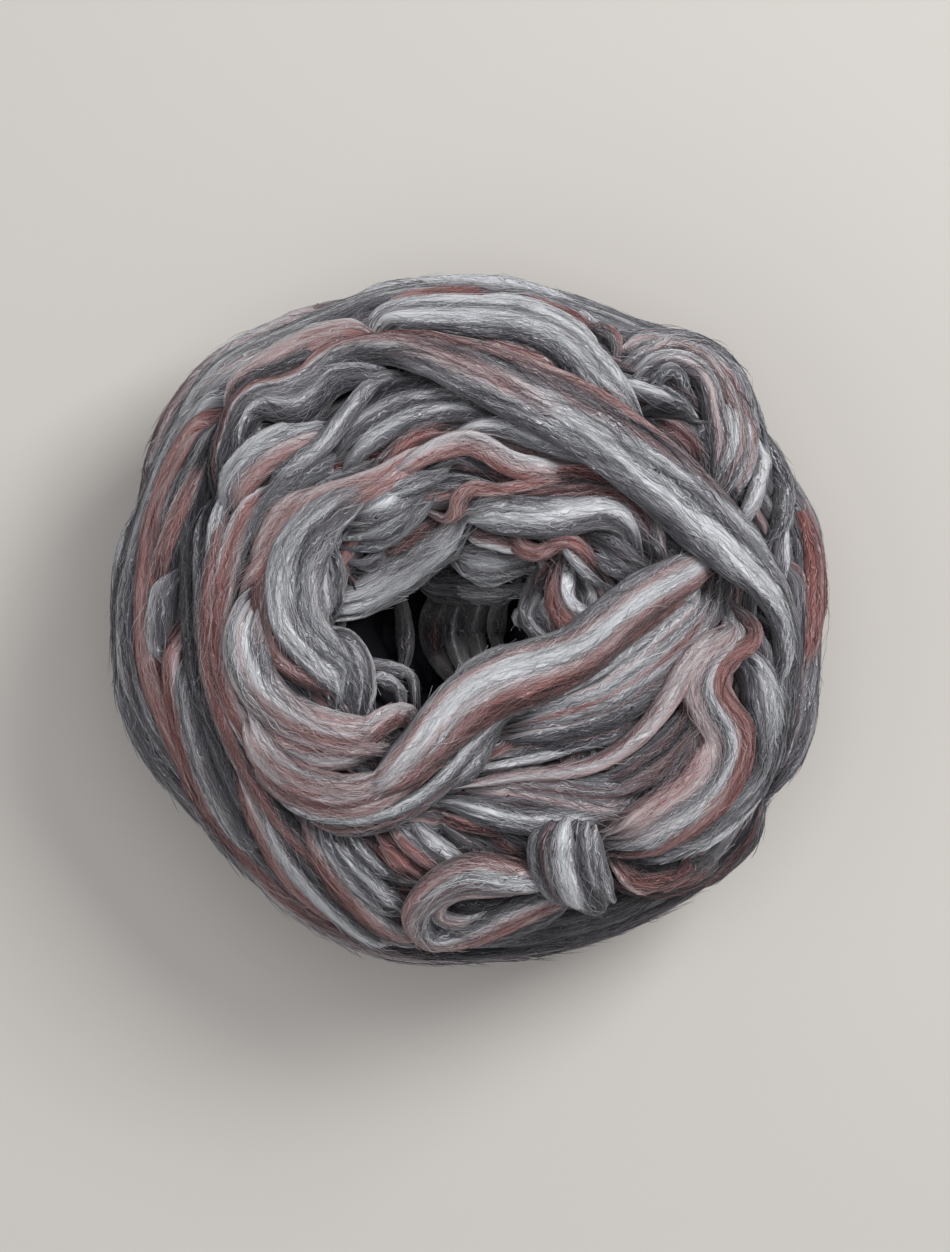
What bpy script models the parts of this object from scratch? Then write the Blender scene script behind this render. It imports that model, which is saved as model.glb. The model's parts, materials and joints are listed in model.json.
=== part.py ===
"""A ball of combed wool roving, lying on its flat foot, with a tied end loop.

Metres, +Z up, the foot on z = 0 and the widest level centred on the Z axis.
The roving is wound round an off-centre hollow that is open at the top.  Three
solids: the wound ball with its main strands in relief, the loose end loop on
its lower edge, and the knot that wraps the two ends of the loop.

Sizes in the tables are in millimetres.  Routes are as seen from EYE_MM above
the widest level, so each one is drawn in toward the axis as it climbs.
"""
from collections import namedtuple
import math

import bmesh
import bpy
from mathutils import Vector
import numpy as np

MM = 0.001

# The whole ball
WIDEST_Z = 56.0
CROWN_Z = 110.0
FOOT_REACH = 53.5
RIM_DROP, RIM_SHARE = 12.0, 0.62
EYE_MM = 1500.0
CORE_INSET = 3.5
SHELL_INSET = 4.5

# Where the middle of the outline lies in the plan of the routes
PLAN_CENTRE = (-1.39, 0.64)

# Radius of the outline, one value for each 15 degrees of bearing from +X
OUTLINE = (114.5, 118.0, 114.0, 121.5, 113.0, 112.0, 113.0, 114.5,
           115.0, 120.5, 117.5, 116.0, 118.0, 116.5, 111.0, 110.5,
           113.0, 114.5, 112.5, 112.5, 115.0, 117.5, 114.0, 116.0)

# The hollow: one value for each 45 degrees of bearing from +X, about its centre
HOLLOW_X, HOLLOW_Y, HOLLOW_FLOOR_Z = -10.0, -6.0, 44.0
HOLLOW_EDGE = (27.0, 21.0, 15.0, 21.0, 31.0, 27.0, 17.0, 13.0)
HOLLOW_SLOPE = (25.0, 38.0, 44.0, 40.0, 22.0, 19.0, 15.0, 13.0)

# Main strands.  width: across, as seen from above.  lift: of its middle above
# the winding's own level.  Both ends dive under their neighbours.
Strand = namedtuple("Strand", "name width lift route")
STRANDS = (
    Strand("west_rim", 10, 0, ((-104, 46), (-112, 24), (-114.5, 4), (-113, -20),
                               (-106, -41), (-92, -59), (-76, -76))),
    Strand("west_second", 10, 1, ((-78, 78), (-95, 60), (-104, 38), (-108, 12),
                                  (-107.5, -12), (-101, -32), (-91, -54),
                                  (-75, -78), (-56, -96), (-38, -106))),
    Strand("west_rose", 9, 2, ((-84, 60), (-92, 44), (-99, 26), (-103, 6),
                               (-102, -12), (-98, -28), (-90, -46),
                               (-80, -66), (-68, -82))),
    Strand("west_dark", 8, 1, ((-84, 54), (-91, 34), (-93, 10), (-91.5, -12),
                               (-86, -36), (-77, -60), (-66, -80))),
    Strand("cross_tail", 10, 3, ((-46, 87), (-60, 79), (-76, 70), (-83, 52),
                                 (-86.5, 28), (-87.5, 2), (-84, -24),
                                 (-73, -50), (-58, -70), (-44, -88))),
    Strand("white_line", 8, 2, ((-36, 72), (-55, 54), (-72, 39), (-81, 20),
                                (-84, 0), (-80, -24), (-69, -42),
                                (-50, -50), (-28, -50))),
    Strand("northwest_wide", 15, 3, ((-36, 74), (-50, 66), (-66, 59), (-79, 48),
                                     (-85, 32))),
    Strand("white_wide", 15, 4, ((-68, 16), (-74, 4), (-73.5, -12), (-66, -26),
                                 (-52, -36), (-36, -41), (-20, -38))),
    Strand("inner_left", 17, 3, ((-40, 38), (-53, 29), (-58.5, 12), (-56, -3),
                                 (-46, -14), (-37, -31))),
    Strand("inner_rose", 8, 0, ((-62, 34), (-67, 16), (-67, -4), (-60, -16),
                                (-48, -23), (-34, -36))),
    Strand("terracotta_arc", 12, 2, ((40, 50), (20, 50), (4, 57), (-10, 61),
                                     (-26, 52), (-42, 43), (-58, 33),
                                     (-70, 18), (-80, 4))),
    Strand("northwest_rim", 13, 0, ((-28, 108), (-50, 101), (-72, 89),
                                    (-89, 75), (-99, 58), (-106, 38))),
    Strand("north_rim", 10, 1, ((-46, 102), (-26, 108), (0, 109.5),
                                (20, 107.5), (36, 100), (50, 91))),
    Strand("tongue", 9, 8, ((-38, 95), (-26, 101.5), (-5, 104), (12, 103),
                            (30, 96), (45, 84), (56, 72), (63, 64))),
    Strand("cross", 19, 10, ((-50, 86), (-36, 91), (-10, 87), (15, 78),
                             (40, 65), (64, 49), (84, 31), (98, 13),
                             (105, -6))),
    Strand("upper_slate", 12, 1, ((-52, 52), (-36, 66), (-16, 76), (6, 73),
                                  (26, 61), (44, 52))),
    Strand("upper_grey", 12, 1, ((-46, 36), (-30, 43), (-14, 49), (-2, 54))),
    Strand("diagonal", 12, 3, ((-43, 5), (-30, 12), (-14, 23), (-2, 33), (2, 39))),
    Strand("white_bar", 13, 4, ((-2, 34), (12, 35.5), (30, 35), (46, 36),
                                (55, 27), (58, 19))),
    Strand("grey_shelf", 14, 2, ((-18, 12), (-4, 17), (10, 16), (22, 11))),
    Strand("inner_curl", 9, 1, ((24, 9), (20, 0), (27, -6), (38, -4), (47, 4))),
    Strand("inner_right", 12, 1, ((36, 32), (47, 25), (58, 19), (68, 20))),
    Strand("bridge", 18, 9, ((-72, -42), (-63, -53), (-48, -60), (-33, -58),
                             (-18, -44), (-2, -28), (14, -19), (32, -13),
                             (46, -2), (60, 9), (76, 18))),
    Strand("under_bridge", 7, 5, ((-66, -56), (-48, -66), (-27, -64),
                                  (-8, -51), (7, -34), (24, -25), (46, -17))),
    Strand("fan_upper", 13, 2, ((8, -32), (28, -26), (48, -16), (66, -1),
                                (79, 14))),
    Strand("fan_middle", 13, 1, ((6, -40), (28, -35), (50, -29), (68, -12),
                                 (83, 6))),
    Strand("pink_strip", 10, 5, ((24, -50), (42, -49), (57, -40), (69, -26),
                                 (79, -11), (92, -1))),
    Strand("low_wide", 15, 2, ((-14, -60), (8, -56), (32, -57), (54, -53),
                               (68, -41), (76, -26))),
    Strand("low_white", 9, 3, ((-16, -61), (2, -63), (20, -66), (44, -66),
                               (54, -60))),
    Strand("under_loop", 18, -3, ((-38, -62), (-22, -73), (-4, -83), (14, -92))),
    Strand("cross_east", 12, 3, ((105, -4), (103.5, -22), (99, -42), (86, -63),
                                 (66, -76), (48, -82))),
    Strand("east_rim", 10, 0, ((106, 48), (112, 26), (113, 6), (110.5, -20),
                               (106, -42), (95, -60))),
    Strand("east_second", 9, 0, ((102, 42), (106, 20), (107.5, 0), (105, -26),
                                 (99, -50))),
    Strand("s_curve", 17, 6, ((94, 3), (84, -11), (79, -20), (85, -36),
                              (84, -48), (71, -61), (53, -73), (38, -80))),
    Strand("northeast_hoop", 12, 3, ((42, 90), (62, 95), (79, 89), (88, 73),
                                     (88, 52), (84, 38))),
    Strand("northeast_dark", 9, 1, ((93, 66), (102, 54), (105, 40), (102, 26))),
    Strand("northeast_patch", 12, -2, ((54, 76), (64, 64), (74, 50))),
    Strand("low_left", 14, 1, ((-78, -46), (-68, -66), (-55, -84), (-38, -98),
                               (-18, -107), (4, -108))),
    Strand("low_dark", 14, 0, ((-56, -64), (-45, -76), (-32, -88), (-16, -98))),
    Strand("southeast_dark", 11, 0, ((98, -54), (90, -72), (76, -84),
                                     (60, -88), (44, -84))),
    Strand("south_second", 12, -3, ((-14, -103), (14, -103), (38, -97),
                                    (60, -86), (80, -72))),
    Strand("south_rim", 8, -1, ((-30, -109), (-5, -110.5), (20, -108.5),
                                (45, -102.5), (66, -92), (85, -78), (97, -58))),
)

# Turns on the sides: level of the middle, rise and fall, phase, width and lift.
# Each runs the whole way round.
Turn = namedtuple("Turn", "level sway phase width lift")
TURNS = (
    Turn(55.0, 7.0, 40.0, 16.0, 0.0),
    Turn(47.0, 12.0, 165.0, 16.0, 0.8),
    Turn(41.0, 13.0, 290.0, 15.0, 2.2),
    Turn(32.0, 10.0, 75.0, 16.0, 0.4),
    Turn(23.0, 10.0, 215.0, 16.0, 1.4),
    Turn(15.0, 6.0, 330.0, 15.0, 0.4),
)

# Strands that pass under the ball: bearing, distance from the axis, width, lift
Under = namedtuple("Under", "toward offset width lift")
UNDERS = (
    Under(12.0, -57.0, 27.0, 0.0),
    Under(19.0, -29.0, 27.0, 0.4),
    Under(15.0, 0.0, 27.0, 0.0),
    Under(20.0, 28.0, 27.0, 0.5),
    Under(14.0, 56.0, 27.0, 0.0),
    Under(78.0, -42.0, 17.0, 2.0),
    Under(84.0, 6.0, 17.0, 1.6),
    Under(72.0, 45.0, 17.0, 2.2),
)
UNDER_SHARE = 0.86

STRAND_THICKNESS = 10.0
DIVE_MM, DIVE_DEPTH = 18.0, 9.0
SIDES = 12
STEP_MM = 5.0
VOXEL = 0.0016
BALL_TRIANGLES = 11000

# The loose end: stations of the loop with width and lift, then of the knot
Station = namedtuple("Station", "x y width thickness lift")
LOOP = (
    Station(26.0, -86.0, 8.0, 7.0, 8.5),
    Station(20.0, -86.0, 11.0, 8.5, 9.0),
    Station(10.5, -85.0, 14.5, 9.0, 8.5),
    Station(1.0, -84.0, 13.5, 9.0, 8.0),
    Station(-8.0, -87.0, 11.5, 9.0, 7.5),
    Station(-15.0, -92.5, 10.0, 8.5, 7.0),
    Station(-18.0, -99.0, 9.5, 8.5, 6.5),
    Station(-14.5, -104.5, 9.5, 8.5, 6.5),
    Station(-6.0, -105.0, 10.0, 8.5, 7.0),
    Station(4.0, -102.5, 10.0, 8.5, 7.0),
    Station(14.0, -98.0, 10.0, 8.5, 7.0),
    Station(23.0, -94.5, 9.0, 7.5, 6.5),
    Station(30.0, -92.5, 7.0, 6.5, 5.5),
)
KNOT = (
    Station(27.0, -66.5, 12.0, 8.0, 3.0),
    Station(29.0, -71.0, 18.0, 12.0, 7.5),
    Station(32.0, -78.0, 21.0, 14.0, 11.0),
    Station(35.5, -85.0, 21.5, 15.0, 13.0),
    Station(39.5, -92.0, 20.5, 14.0, 15.0),
    Station(43.0, -97.0, 17.0, 11.5, 16.5),
    Station(44.5, -99.5, 11.0, 8.0, 15.0),
)
FREE_GAP = 0.45
LOBE_SIDES = 20
LOOP_LOBES, KNOT_LOBES = 4, 5
LOBE_DEPTH = 0.045


def periodic(values, degrees):
    """A smooth value between evenly spaced ones that close on themselves."""
    values = np.asarray(values, float)
    place = (np.asarray(degrees, float) % 360.0) / 360.0 * len(values)
    low = np.floor(place).astype(int)
    part = place - low
    before, here, after, beyond = (values[(low + k) % len(values)]
                                   for k in (-1, 0, 1, 2))
    return here + 0.5 * part * (
        after - before
        + part * (2 * before - 5 * here + 4 * after - beyond
                  + part * (3 * (here - after) + beyond - before)))


def bearing(x, y):
    return np.degrees(np.arctan2(y, x))


def winding_height(x, y):
    """Height of the middle of the outer layer of roving over a point."""
    share = np.hypot(x, y) / (periodic(OUTLINE, bearing(x, y)) - SHELL_INSET)
    share = np.clip(share, 0.0, 0.999)
    dome = WIDEST_Z + (CROWN_Z - WIDEST_Z) * (1 - share ** 2.6) ** (1 / 2.2)
    dome = dome - RIM_DROP * np.clip(1 - share / RIM_SHARE, 0, 1) ** 1.5
    dx, dy = x - HOLLOW_X, y - HOLLOW_Y
    toward = bearing(dx, dy)
    edge = periodic(HOLLOW_EDGE, toward)
    floor_edge = 0.5 * edge
    crest = edge + periodic(HOLLOW_SLOPE, toward)
    climb = np.clip((np.hypot(dx, dy) - floor_edge) / (crest - floor_edge), 0, 1)
    climb = 1 - (1 - climb) ** 2.5
    return HOLLOW_FLOOR_Z + (dome - HOLLOW_FLOOR_Z) * climb


def drawn_in(x, y, lift):
    """Plan point and level of a route station, allowing for the eye height."""
    z = winding_height(x, y) + lift
    for _ in range(2):
        scale = 1 - (z - WIDEST_Z) / EYE_MM
        z = winding_height(x * scale, y * scale) + lift
    return x * scale, y * scale, z


def up_normal(x, y):
    step = 1.5
    slope_x = (winding_height(x + step, y) - winding_height(x - step, y)) / (2 * step)
    slope_y = (winding_height(x, y + step) - winding_height(x, y - step)) / (2 * step)
    steep = np.maximum(1.0, np.hypot(slope_x, slope_y) / 2.4)
    normal = np.stack([-slope_x / steep, -slope_y / steep, np.ones_like(x)], axis=1)
    return normal / np.linalg.norm(normal, axis=1, keepdims=True)


def smooth_route(stations, step):
    """Points about a step apart on a smooth line through the stations."""
    stations = np.asarray(stations, float)
    ends = np.concatenate([[2 * stations[0] - stations[1]], stations,
                           [2 * stations[-1] - stations[-2]]])
    pieces = []
    for k in range(1, len(ends) - 2):
        a, b, c, d = ends[k - 1:k + 3]
        count = max(3, int(math.dist(b[:2], c[:2]) / step) + 1)
        t = np.linspace(0, 1, count, endpoint=False)[:, None]
        pieces.append(b + 0.5 * t * (c - a + t * (2 * a - 5 * b + 4 * c - d
                                                  + t * (3 * (b - c) + d - a))))
    pieces.append(stations[-1:])
    return np.concatenate(pieces)


def section_frames(points, normals):
    """Across and outward directions along a line."""
    along = np.gradient(points, axis=0)
    along /= np.linalg.norm(along, axis=1, keepdims=True)
    across = np.cross(along, normals)
    across /= np.linalg.norm(across, axis=1, keepdims=True)
    return across, np.cross(across, along)


def add_tube(mesh, points, across, outward, halves, sides, lobes=0, closed=False):
    """Rings of an oval section along a line, joined and capped."""
    angles = np.linspace(0, 2 * math.pi, sides, endpoint=False)
    reach = 1 + LOBE_DEPTH * np.cos(2 * lobes * angles) if lobes else 1 + 0 * angles
    rings = []
    for point, side, out, (half_width, half_height) in zip(
            points, across, outward, halves):
        ring = [mesh.verts.new(Vector((point + side * half_width * math.cos(a) * r
                                       + out * half_height * math.sin(a) * r) * MM))
                for a, r in zip(angles, reach)]
        rings.append(ring)
    pairs = list(zip(rings, rings[1:]))
    if closed:
        pairs.append((rings[-1], rings[0]))
    for ring, after in pairs:
        for k in range(sides):
            n = (k + 1) % sides
            mesh.faces.new((ring[k], ring[n], after[n], after[k]))
    if not closed:
        mesh.faces.new(list(reversed(rings[0])))
        mesh.faces.new(rings[-1])


def add_strand(mesh, strand):
    """A flattened strand on the winding, its ends narrowed and diving under."""
    route = smooth_route(strand.route, STEP_MM)
    run = np.concatenate([[0], np.cumsum(np.hypot(*np.diff(route, axis=0).T))])
    to_end = np.minimum(run, run[-1] - run)
    ease = np.clip(to_end / DIVE_MM, 0, 1)
    ease = ease * ease * (3 - 2 * ease)
    lift = strand.lift - DIVE_DEPTH * (1 - ease)
    x, y, z = drawn_in(route[:, 0], route[:, 1], lift)
    points = np.stack([x, y, z], axis=1)
    normals = up_normal(x, y)
    across, outward = section_frames(points, normals)
    level = np.maximum(np.linalg.norm(across[:, :2], axis=1), 0.5)
    half_width = 0.5 * strand.width / level * (0.45 + 0.55 * ease)
    half_height = 0.5 * STRAND_THICKNESS * (0.6 + 0.4 * ease)
    add_tube(mesh, points, across, outward,
             list(zip(half_width, half_height)), SIDES)


def lower_point(degrees, level, lift):
    """A point on the lower half at a level, and its outward direction."""
    radius = periodic(OUTLINE, degrees) - SHELL_INSET
    drop = np.clip((WIDEST_Z - level) / FOOT_REACH, -0.3, 0.985)
    share = (1 - np.abs(drop) ** 2.3) ** (1 / 2.1)
    angle = np.radians(degrees)
    out = np.stack([np.cos(angle), np.sin(angle), -1.1 * drop], axis=1)
    out /= np.linalg.norm(out, axis=1, keepdims=True)
    plan = (radius * share)[:, None] * np.stack([np.cos(angle), np.sin(angle)], axis=1)
    point = np.concatenate([plan, level[:, None]], axis=1)
    return point + out * lift, out


def add_turn(mesh, turn):
    degrees = np.linspace(0, 360, 96, endpoint=False)
    level = turn.level + turn.sway * np.sin(np.radians(degrees - turn.phase))
    points, out = lower_point(degrees, level, turn.lift)
    around = np.roll(points, -1, axis=0) - np.roll(points, 1, axis=0)
    around /= np.linalg.norm(around, axis=1, keepdims=True)
    across = np.cross(around, out)
    across /= np.linalg.norm(across, axis=1, keepdims=True)
    halves = [(0.5 * turn.width, 0.5 * STRAND_THICKNESS)] * len(points)
    add_tube(mesh, points, across, np.cross(across, around), halves, SIDES,
             closed=True)


def add_under(mesh, under):
    """A strand on a chord across the underside, both ends running into it."""
    angle = math.radians(under.toward)
    ahead = np.array([math.cos(angle), math.sin(angle)])
    aside = np.array([-math.sin(angle), math.cos(angle)])
    reach = UNDER_SHARE * (min(OUTLINE) - SHELL_INSET)
    half = math.sqrt(reach ** 2 - under.offset ** 2)
    t = np.linspace(-1, 1, 34)
    plan = half * t[:, None] * ahead + under.offset * (1 + 0.12 * t[:, None] ** 2) * aside
    degrees = bearing(plan[:, 0], plan[:, 1])
    share = np.hypot(*plan.T) / (periodic(OUTLINE, degrees) - SHELL_INSET)
    drop = (1 - np.clip(share, 0, 1) ** 2.1) ** (1 / 2.3)
    level = WIDEST_Z - FOOT_REACH * drop
    ease = np.clip((1 - np.abs(t)) * half / DIVE_MM, 0, 1)
    lift = under.lift - DIVE_DEPTH * (1 - ease)
    outward = np.stack([0.9 * share ** 3 * np.cos(np.radians(degrees)),
                        0.9 * share ** 3 * np.sin(np.radians(degrees)),
                        -np.ones_like(share)], axis=1)
    outward /= np.linalg.norm(outward, axis=1, keepdims=True)
    points = np.concatenate([plan, level[:, None]], axis=1) + outward * lift[:, None]
    across, outward = section_frames(points, outward)
    half_width = 0.5 * under.width * (0.45 + 0.55 * ease)
    half_height = 0.5 * STRAND_THICKNESS * (0.6 + 0.4 * ease)
    add_tube(mesh, points, across, outward,
             list(zip(half_width, half_height)), SIDES)


def add_core(mesh):
    """The packed inside of the ball, just below the outer layer."""
    degrees = np.linspace(0, 360, 72, endpoint=False)
    angle = np.radians(degrees)
    edge = (periodic(OUTLINE, degrees) - SHELL_INSET)[:, None] * np.stack(
        [np.cos(angle), np.sin(angle)], axis=1)
    centre = np.array([HOLLOW_X, HOLLOW_Y])
    rows = []
    for part in np.linspace(0.06, 0.985, 30):
        plan = centre + part * (edge - centre)
        height = winding_height(plan[:, 0], plan[:, 1])
        normal = up_normal(plan[:, 0], plan[:, 1])
        rows.append(np.concatenate([plan, height[:, None]], axis=1)
                    - normal * CORE_INSET)
    for level in np.linspace(WIDEST_Z, WIDEST_Z - 0.985 * FOOT_REACH, 14):
        point, _ = lower_point(degrees, np.full_like(degrees, level), -CORE_INSET)
        rows.append(point)
    rings = [[mesh.verts.new(Vector(point * MM)) for point in row] for row in rows]
    for ring, after in zip(rings, rings[1:]):
        for k in range(len(ring)):
            n = (k + 1) % len(ring)
            mesh.faces.new((ring[k], after[k], after[n], ring[n]))
    mesh.faces.new(rings[0])
    mesh.faces.new(list(reversed(rings[-1])))


def add_free_end(mesh, stations, lobes, extra=0.0):
    """The loop or the knot, swollen by an extra all round for its own cutter."""
    table = smooth_route([tuple(s) for s in stations], 2.5)
    x, y, z = drawn_in(table[:, 0], table[:, 1], table[:, 4])
    points = np.stack([x, y, z], axis=1)
    across, outward = section_frames(points, up_normal(x, y))
    if extra:
        along = points[1] - points[0]
        points[0] -= along / np.linalg.norm(along) * extra
        along = points[-1] - points[-2]
        points[-1] += along / np.linalg.norm(along) * extra
    half_width = 0.5 * table[:, 2] + extra
    half_height = 0.5 * table[:, 3] + extra
    add_tube(mesh, points, across, outward,
             list(zip(half_width, half_height)), LOBE_SIDES, lobes)


def mesh_object(name, fill, collection, **kwargs):
    built = bmesh.new()
    fill(built, **kwargs)
    bmesh.ops.translate(built, verts=built.verts[:],
                        vec=(-PLAN_CENTRE[0] * MM, -PLAN_CENTRE[1] * MM, 0.0))
    bmesh.ops.recalc_face_normals(built, faces=built.faces[:])
    data = bpy.data.meshes.new(name)
    built.to_mesh(data)
    built.free()
    obj = bpy.data.objects.new(name, data)
    collection.objects.link(obj)
    return obj


def cutter(name, fill, **kwargs):
    obj = mesh_object(name, fill, helpers, **kwargs)
    obj.hide_render = True
    obj.display_type = "WIRE"
    return obj


def baked(obj):
    """The object's mesh after its modifiers, put in place of the plain one."""
    bpy.context.view_layer.update()
    graph = bpy.context.evaluated_depsgraph_get()
    data = bpy.data.meshes.new_from_object(obj.evaluated_get(graph))
    obj.modifiers.clear()
    old = obj.data
    obj.data = data
    bpy.data.meshes.remove(old)


def keep_largest(obj):
    """Leaves one body: loose crumbs and closed pockets inside are dropped."""
    built = bmesh.new()
    built.from_mesh(obj.data)
    left = set(built.verts)
    bodies = []
    while left:
        body = {left.pop()}
        edge = list(body)
        while edge:
            vert = edge.pop()
            for link in vert.link_edges:
                other = link.other_vert(vert)
                if other not in body:
                    body.add(other)
                    edge.append(other)
        left -= body
        bodies.append(body)
    largest = max(bodies, key=len)
    drop = [vert for vert in built.verts if vert not in largest]
    bmesh.ops.delete(built, geom=drop, context="VERTS")
    built.to_mesh(obj.data)
    built.free()


def cut(obj, tool):
    modifier = obj.modifiers.new("cut " + tool.name, "BOOLEAN")
    modifier.operation = "DIFFERENCE"
    modifier.solver = "EXACT"
    modifier.object = tool
    baked(obj)


def triangulated(obj):
    built = bmesh.new()
    built.from_mesh(obj.data)
    bmesh.ops.triangulate(built, faces=built.faces[:])
    built.to_mesh(obj.data)
    built.free()


def fill_ball(mesh):
    add_core(mesh)
    for strand in STRANDS:
        add_strand(mesh, strand)
    for turn in TURNS:
        add_turn(mesh, turn)
    for under in UNDERS:
        add_under(mesh, under)


def fill_below(mesh):
    """A slab under z = 0, which takes off the foot."""
    bmesh.ops.create_cube(mesh, size=1.0)
    for vert in mesh.verts:
        vert.co = Vector((vert.co.x * 0.4, vert.co.y * 0.4, vert.co.z * 0.04 - 0.02))


def wool(name, colour):
    material = bpy.data.materials.new(name)
    material.use_nodes = True
    shader = material.node_tree.nodes["Principled BSDF"]
    shader.inputs["Base Color"].default_value = (*colour, 1.0)
    shader.inputs["Roughness"].default_value = 0.9
    return material


for old_object in list(bpy.data.objects):
    bpy.data.objects.remove(old_object, do_unlink=True)

parts = bpy.context.scene.collection
helpers = bpy.data.collections.new("cutters")
parts.children.link(helpers)

ball = mesh_object("wound_ball", fill_ball, parts)
merge = ball.modifiers.new("merge", "REMESH")
merge.mode = "VOXEL"
merge.voxel_size = VOXEL
baked(ball)
keep_largest(ball)
triangulated(ball)
thin = ball.modifiers.new("thin", "DECIMATE")
thin.ratio = BALL_TRIANGLES / len(ball.data.polygons)
baked(ball)

loop = mesh_object("end_loop", add_free_end, parts, stations=LOOP, lobes=LOOP_LOBES)
knot = mesh_object("end_knot", add_free_end, parts, stations=KNOT, lobes=KNOT_LOBES)

cut(ball, cutter("below_foot", fill_below))
cut(ball, cutter("round_loop", add_free_end, stations=LOOP, lobes=LOOP_LOBES,
                 extra=FREE_GAP))
cut(ball, cutter("round_knot", add_free_end, stations=KNOT, lobes=KNOT_LOBES,
                 extra=FREE_GAP))
cut(knot, cutter("round_loop_ends", add_free_end, stations=LOOP, lobes=LOOP_LOBES,
                 extra=FREE_GAP))
keep_largest(ball)
keep_largest(knot)

ball.data.materials.clear()
ball.data.materials.append(wool("ball wool", (0.32, 0.29, 0.30)))
loop.data.materials.append(wool("loop wool", (0.45, 0.38, 0.38)))
knot.data.materials.clear()
knot.data.materials.append(wool("knot wool", (0.42, 0.41, 0.43)))
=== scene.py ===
"""Ball of combed wool roving: locks, fibres, end loop, knot and studio.

Run as a script inside Blender.  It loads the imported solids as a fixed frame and
builds the wool round them: every strand of the roving is a lobed, flattened
tube that follows its own route over the ball, and loose fibres lie along it.

Sizes in the tables are in millimetres.  Routes are as seen from EYE_MM above
the widest level, so each one is drawn in toward the axis as it climbs.
"""
from collections import namedtuple
import json
import math

import bmesh
import bpy
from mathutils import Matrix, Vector
import numpy as np

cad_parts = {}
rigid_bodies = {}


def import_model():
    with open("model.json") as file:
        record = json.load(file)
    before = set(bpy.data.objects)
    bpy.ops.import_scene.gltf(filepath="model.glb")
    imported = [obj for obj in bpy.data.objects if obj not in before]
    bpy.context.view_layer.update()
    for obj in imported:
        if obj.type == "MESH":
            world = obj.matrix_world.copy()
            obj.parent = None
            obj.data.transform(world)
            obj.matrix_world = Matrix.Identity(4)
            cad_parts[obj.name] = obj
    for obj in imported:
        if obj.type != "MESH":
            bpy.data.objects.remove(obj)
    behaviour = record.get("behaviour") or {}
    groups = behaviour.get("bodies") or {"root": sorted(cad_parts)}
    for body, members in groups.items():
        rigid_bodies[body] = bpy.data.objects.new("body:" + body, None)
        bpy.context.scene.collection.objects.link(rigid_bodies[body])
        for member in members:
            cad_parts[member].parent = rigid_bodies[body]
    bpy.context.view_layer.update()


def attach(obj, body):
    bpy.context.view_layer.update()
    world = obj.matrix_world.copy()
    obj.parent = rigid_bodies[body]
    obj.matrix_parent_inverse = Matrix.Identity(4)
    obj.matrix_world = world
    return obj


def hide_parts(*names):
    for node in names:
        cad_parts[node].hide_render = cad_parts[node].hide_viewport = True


bl_info = {
    "name": "Wool roving ball",
    "version": (1, 0, 0),
    "blender": (4, 5, 0),
    "location": "View3D > Sidebar > Wool",
    "description": "Builds a wound ball of combed wool roving with its end loop",
    "category": "Add Mesh",
}

for leftover in list(bpy.data.objects):
    bpy.data.objects.remove(leftover, do_unlink=True)
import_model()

MM = 0.001

# The whole ball, as the solids have it
WIDEST_Z = 56.0
CROWN_Z = 110.0
FOOT_REACH = 53.5
RIM_DROP, RIM_SHARE = 12.0, 0.62
EYE_MM = 1500.0
CORE_INSET = 5.5
SHELL_INSET = 4.5
PLAN_CENTRE = (-1.39, 0.64)
FLOOR_CLEAR = 0.35

# Radius of the outline, one value for each 15 degrees of bearing from +X
OUTLINE = (114.5, 118.0, 114.0, 121.5, 113.0, 112.0, 113.0, 114.5,
           115.0, 120.5, 117.5, 116.0, 118.0, 116.5, 111.0, 110.5,
           113.0, 114.5, 112.5, 112.5, 115.0, 117.5, 114.0, 116.0)

# The hollow: one value for each 45 degrees of bearing from +X, about its centre
HOLLOW_X, HOLLOW_Y, HOLLOW_FLOOR_Z = -10.0, -6.0, 44.0
HOLLOW_EDGE = (27.0, 21.0, 15.0, 21.0, 31.0, 27.0, 17.0, 13.0)
HOLLOW_SLOPE = (25.0, 38.0, 44.0, 40.0, 22.0, 19.0, 15.0, 13.0)

# Bands of the roving: letter, tone from dark to white, share of rose
# Most are dyed colours; some strands use the darkest for painted shade and W for a painted
# highlight
BANDS = {
    "K": (0.02, 0.10), "C": (0.13, 0.05), "S": (0.32, 0.05), "G": (0.52, 0.04),
    "L": (0.74, 0.03), "W": (0.97, 0.02), "M": (0.42, 0.46), "P": (0.84, 0.62),
    "R": (0.62, 0.85), "O": (0.57, 1.00), "T": (0.46, 1.00), "B": (0.20, 0.85),
}

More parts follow.
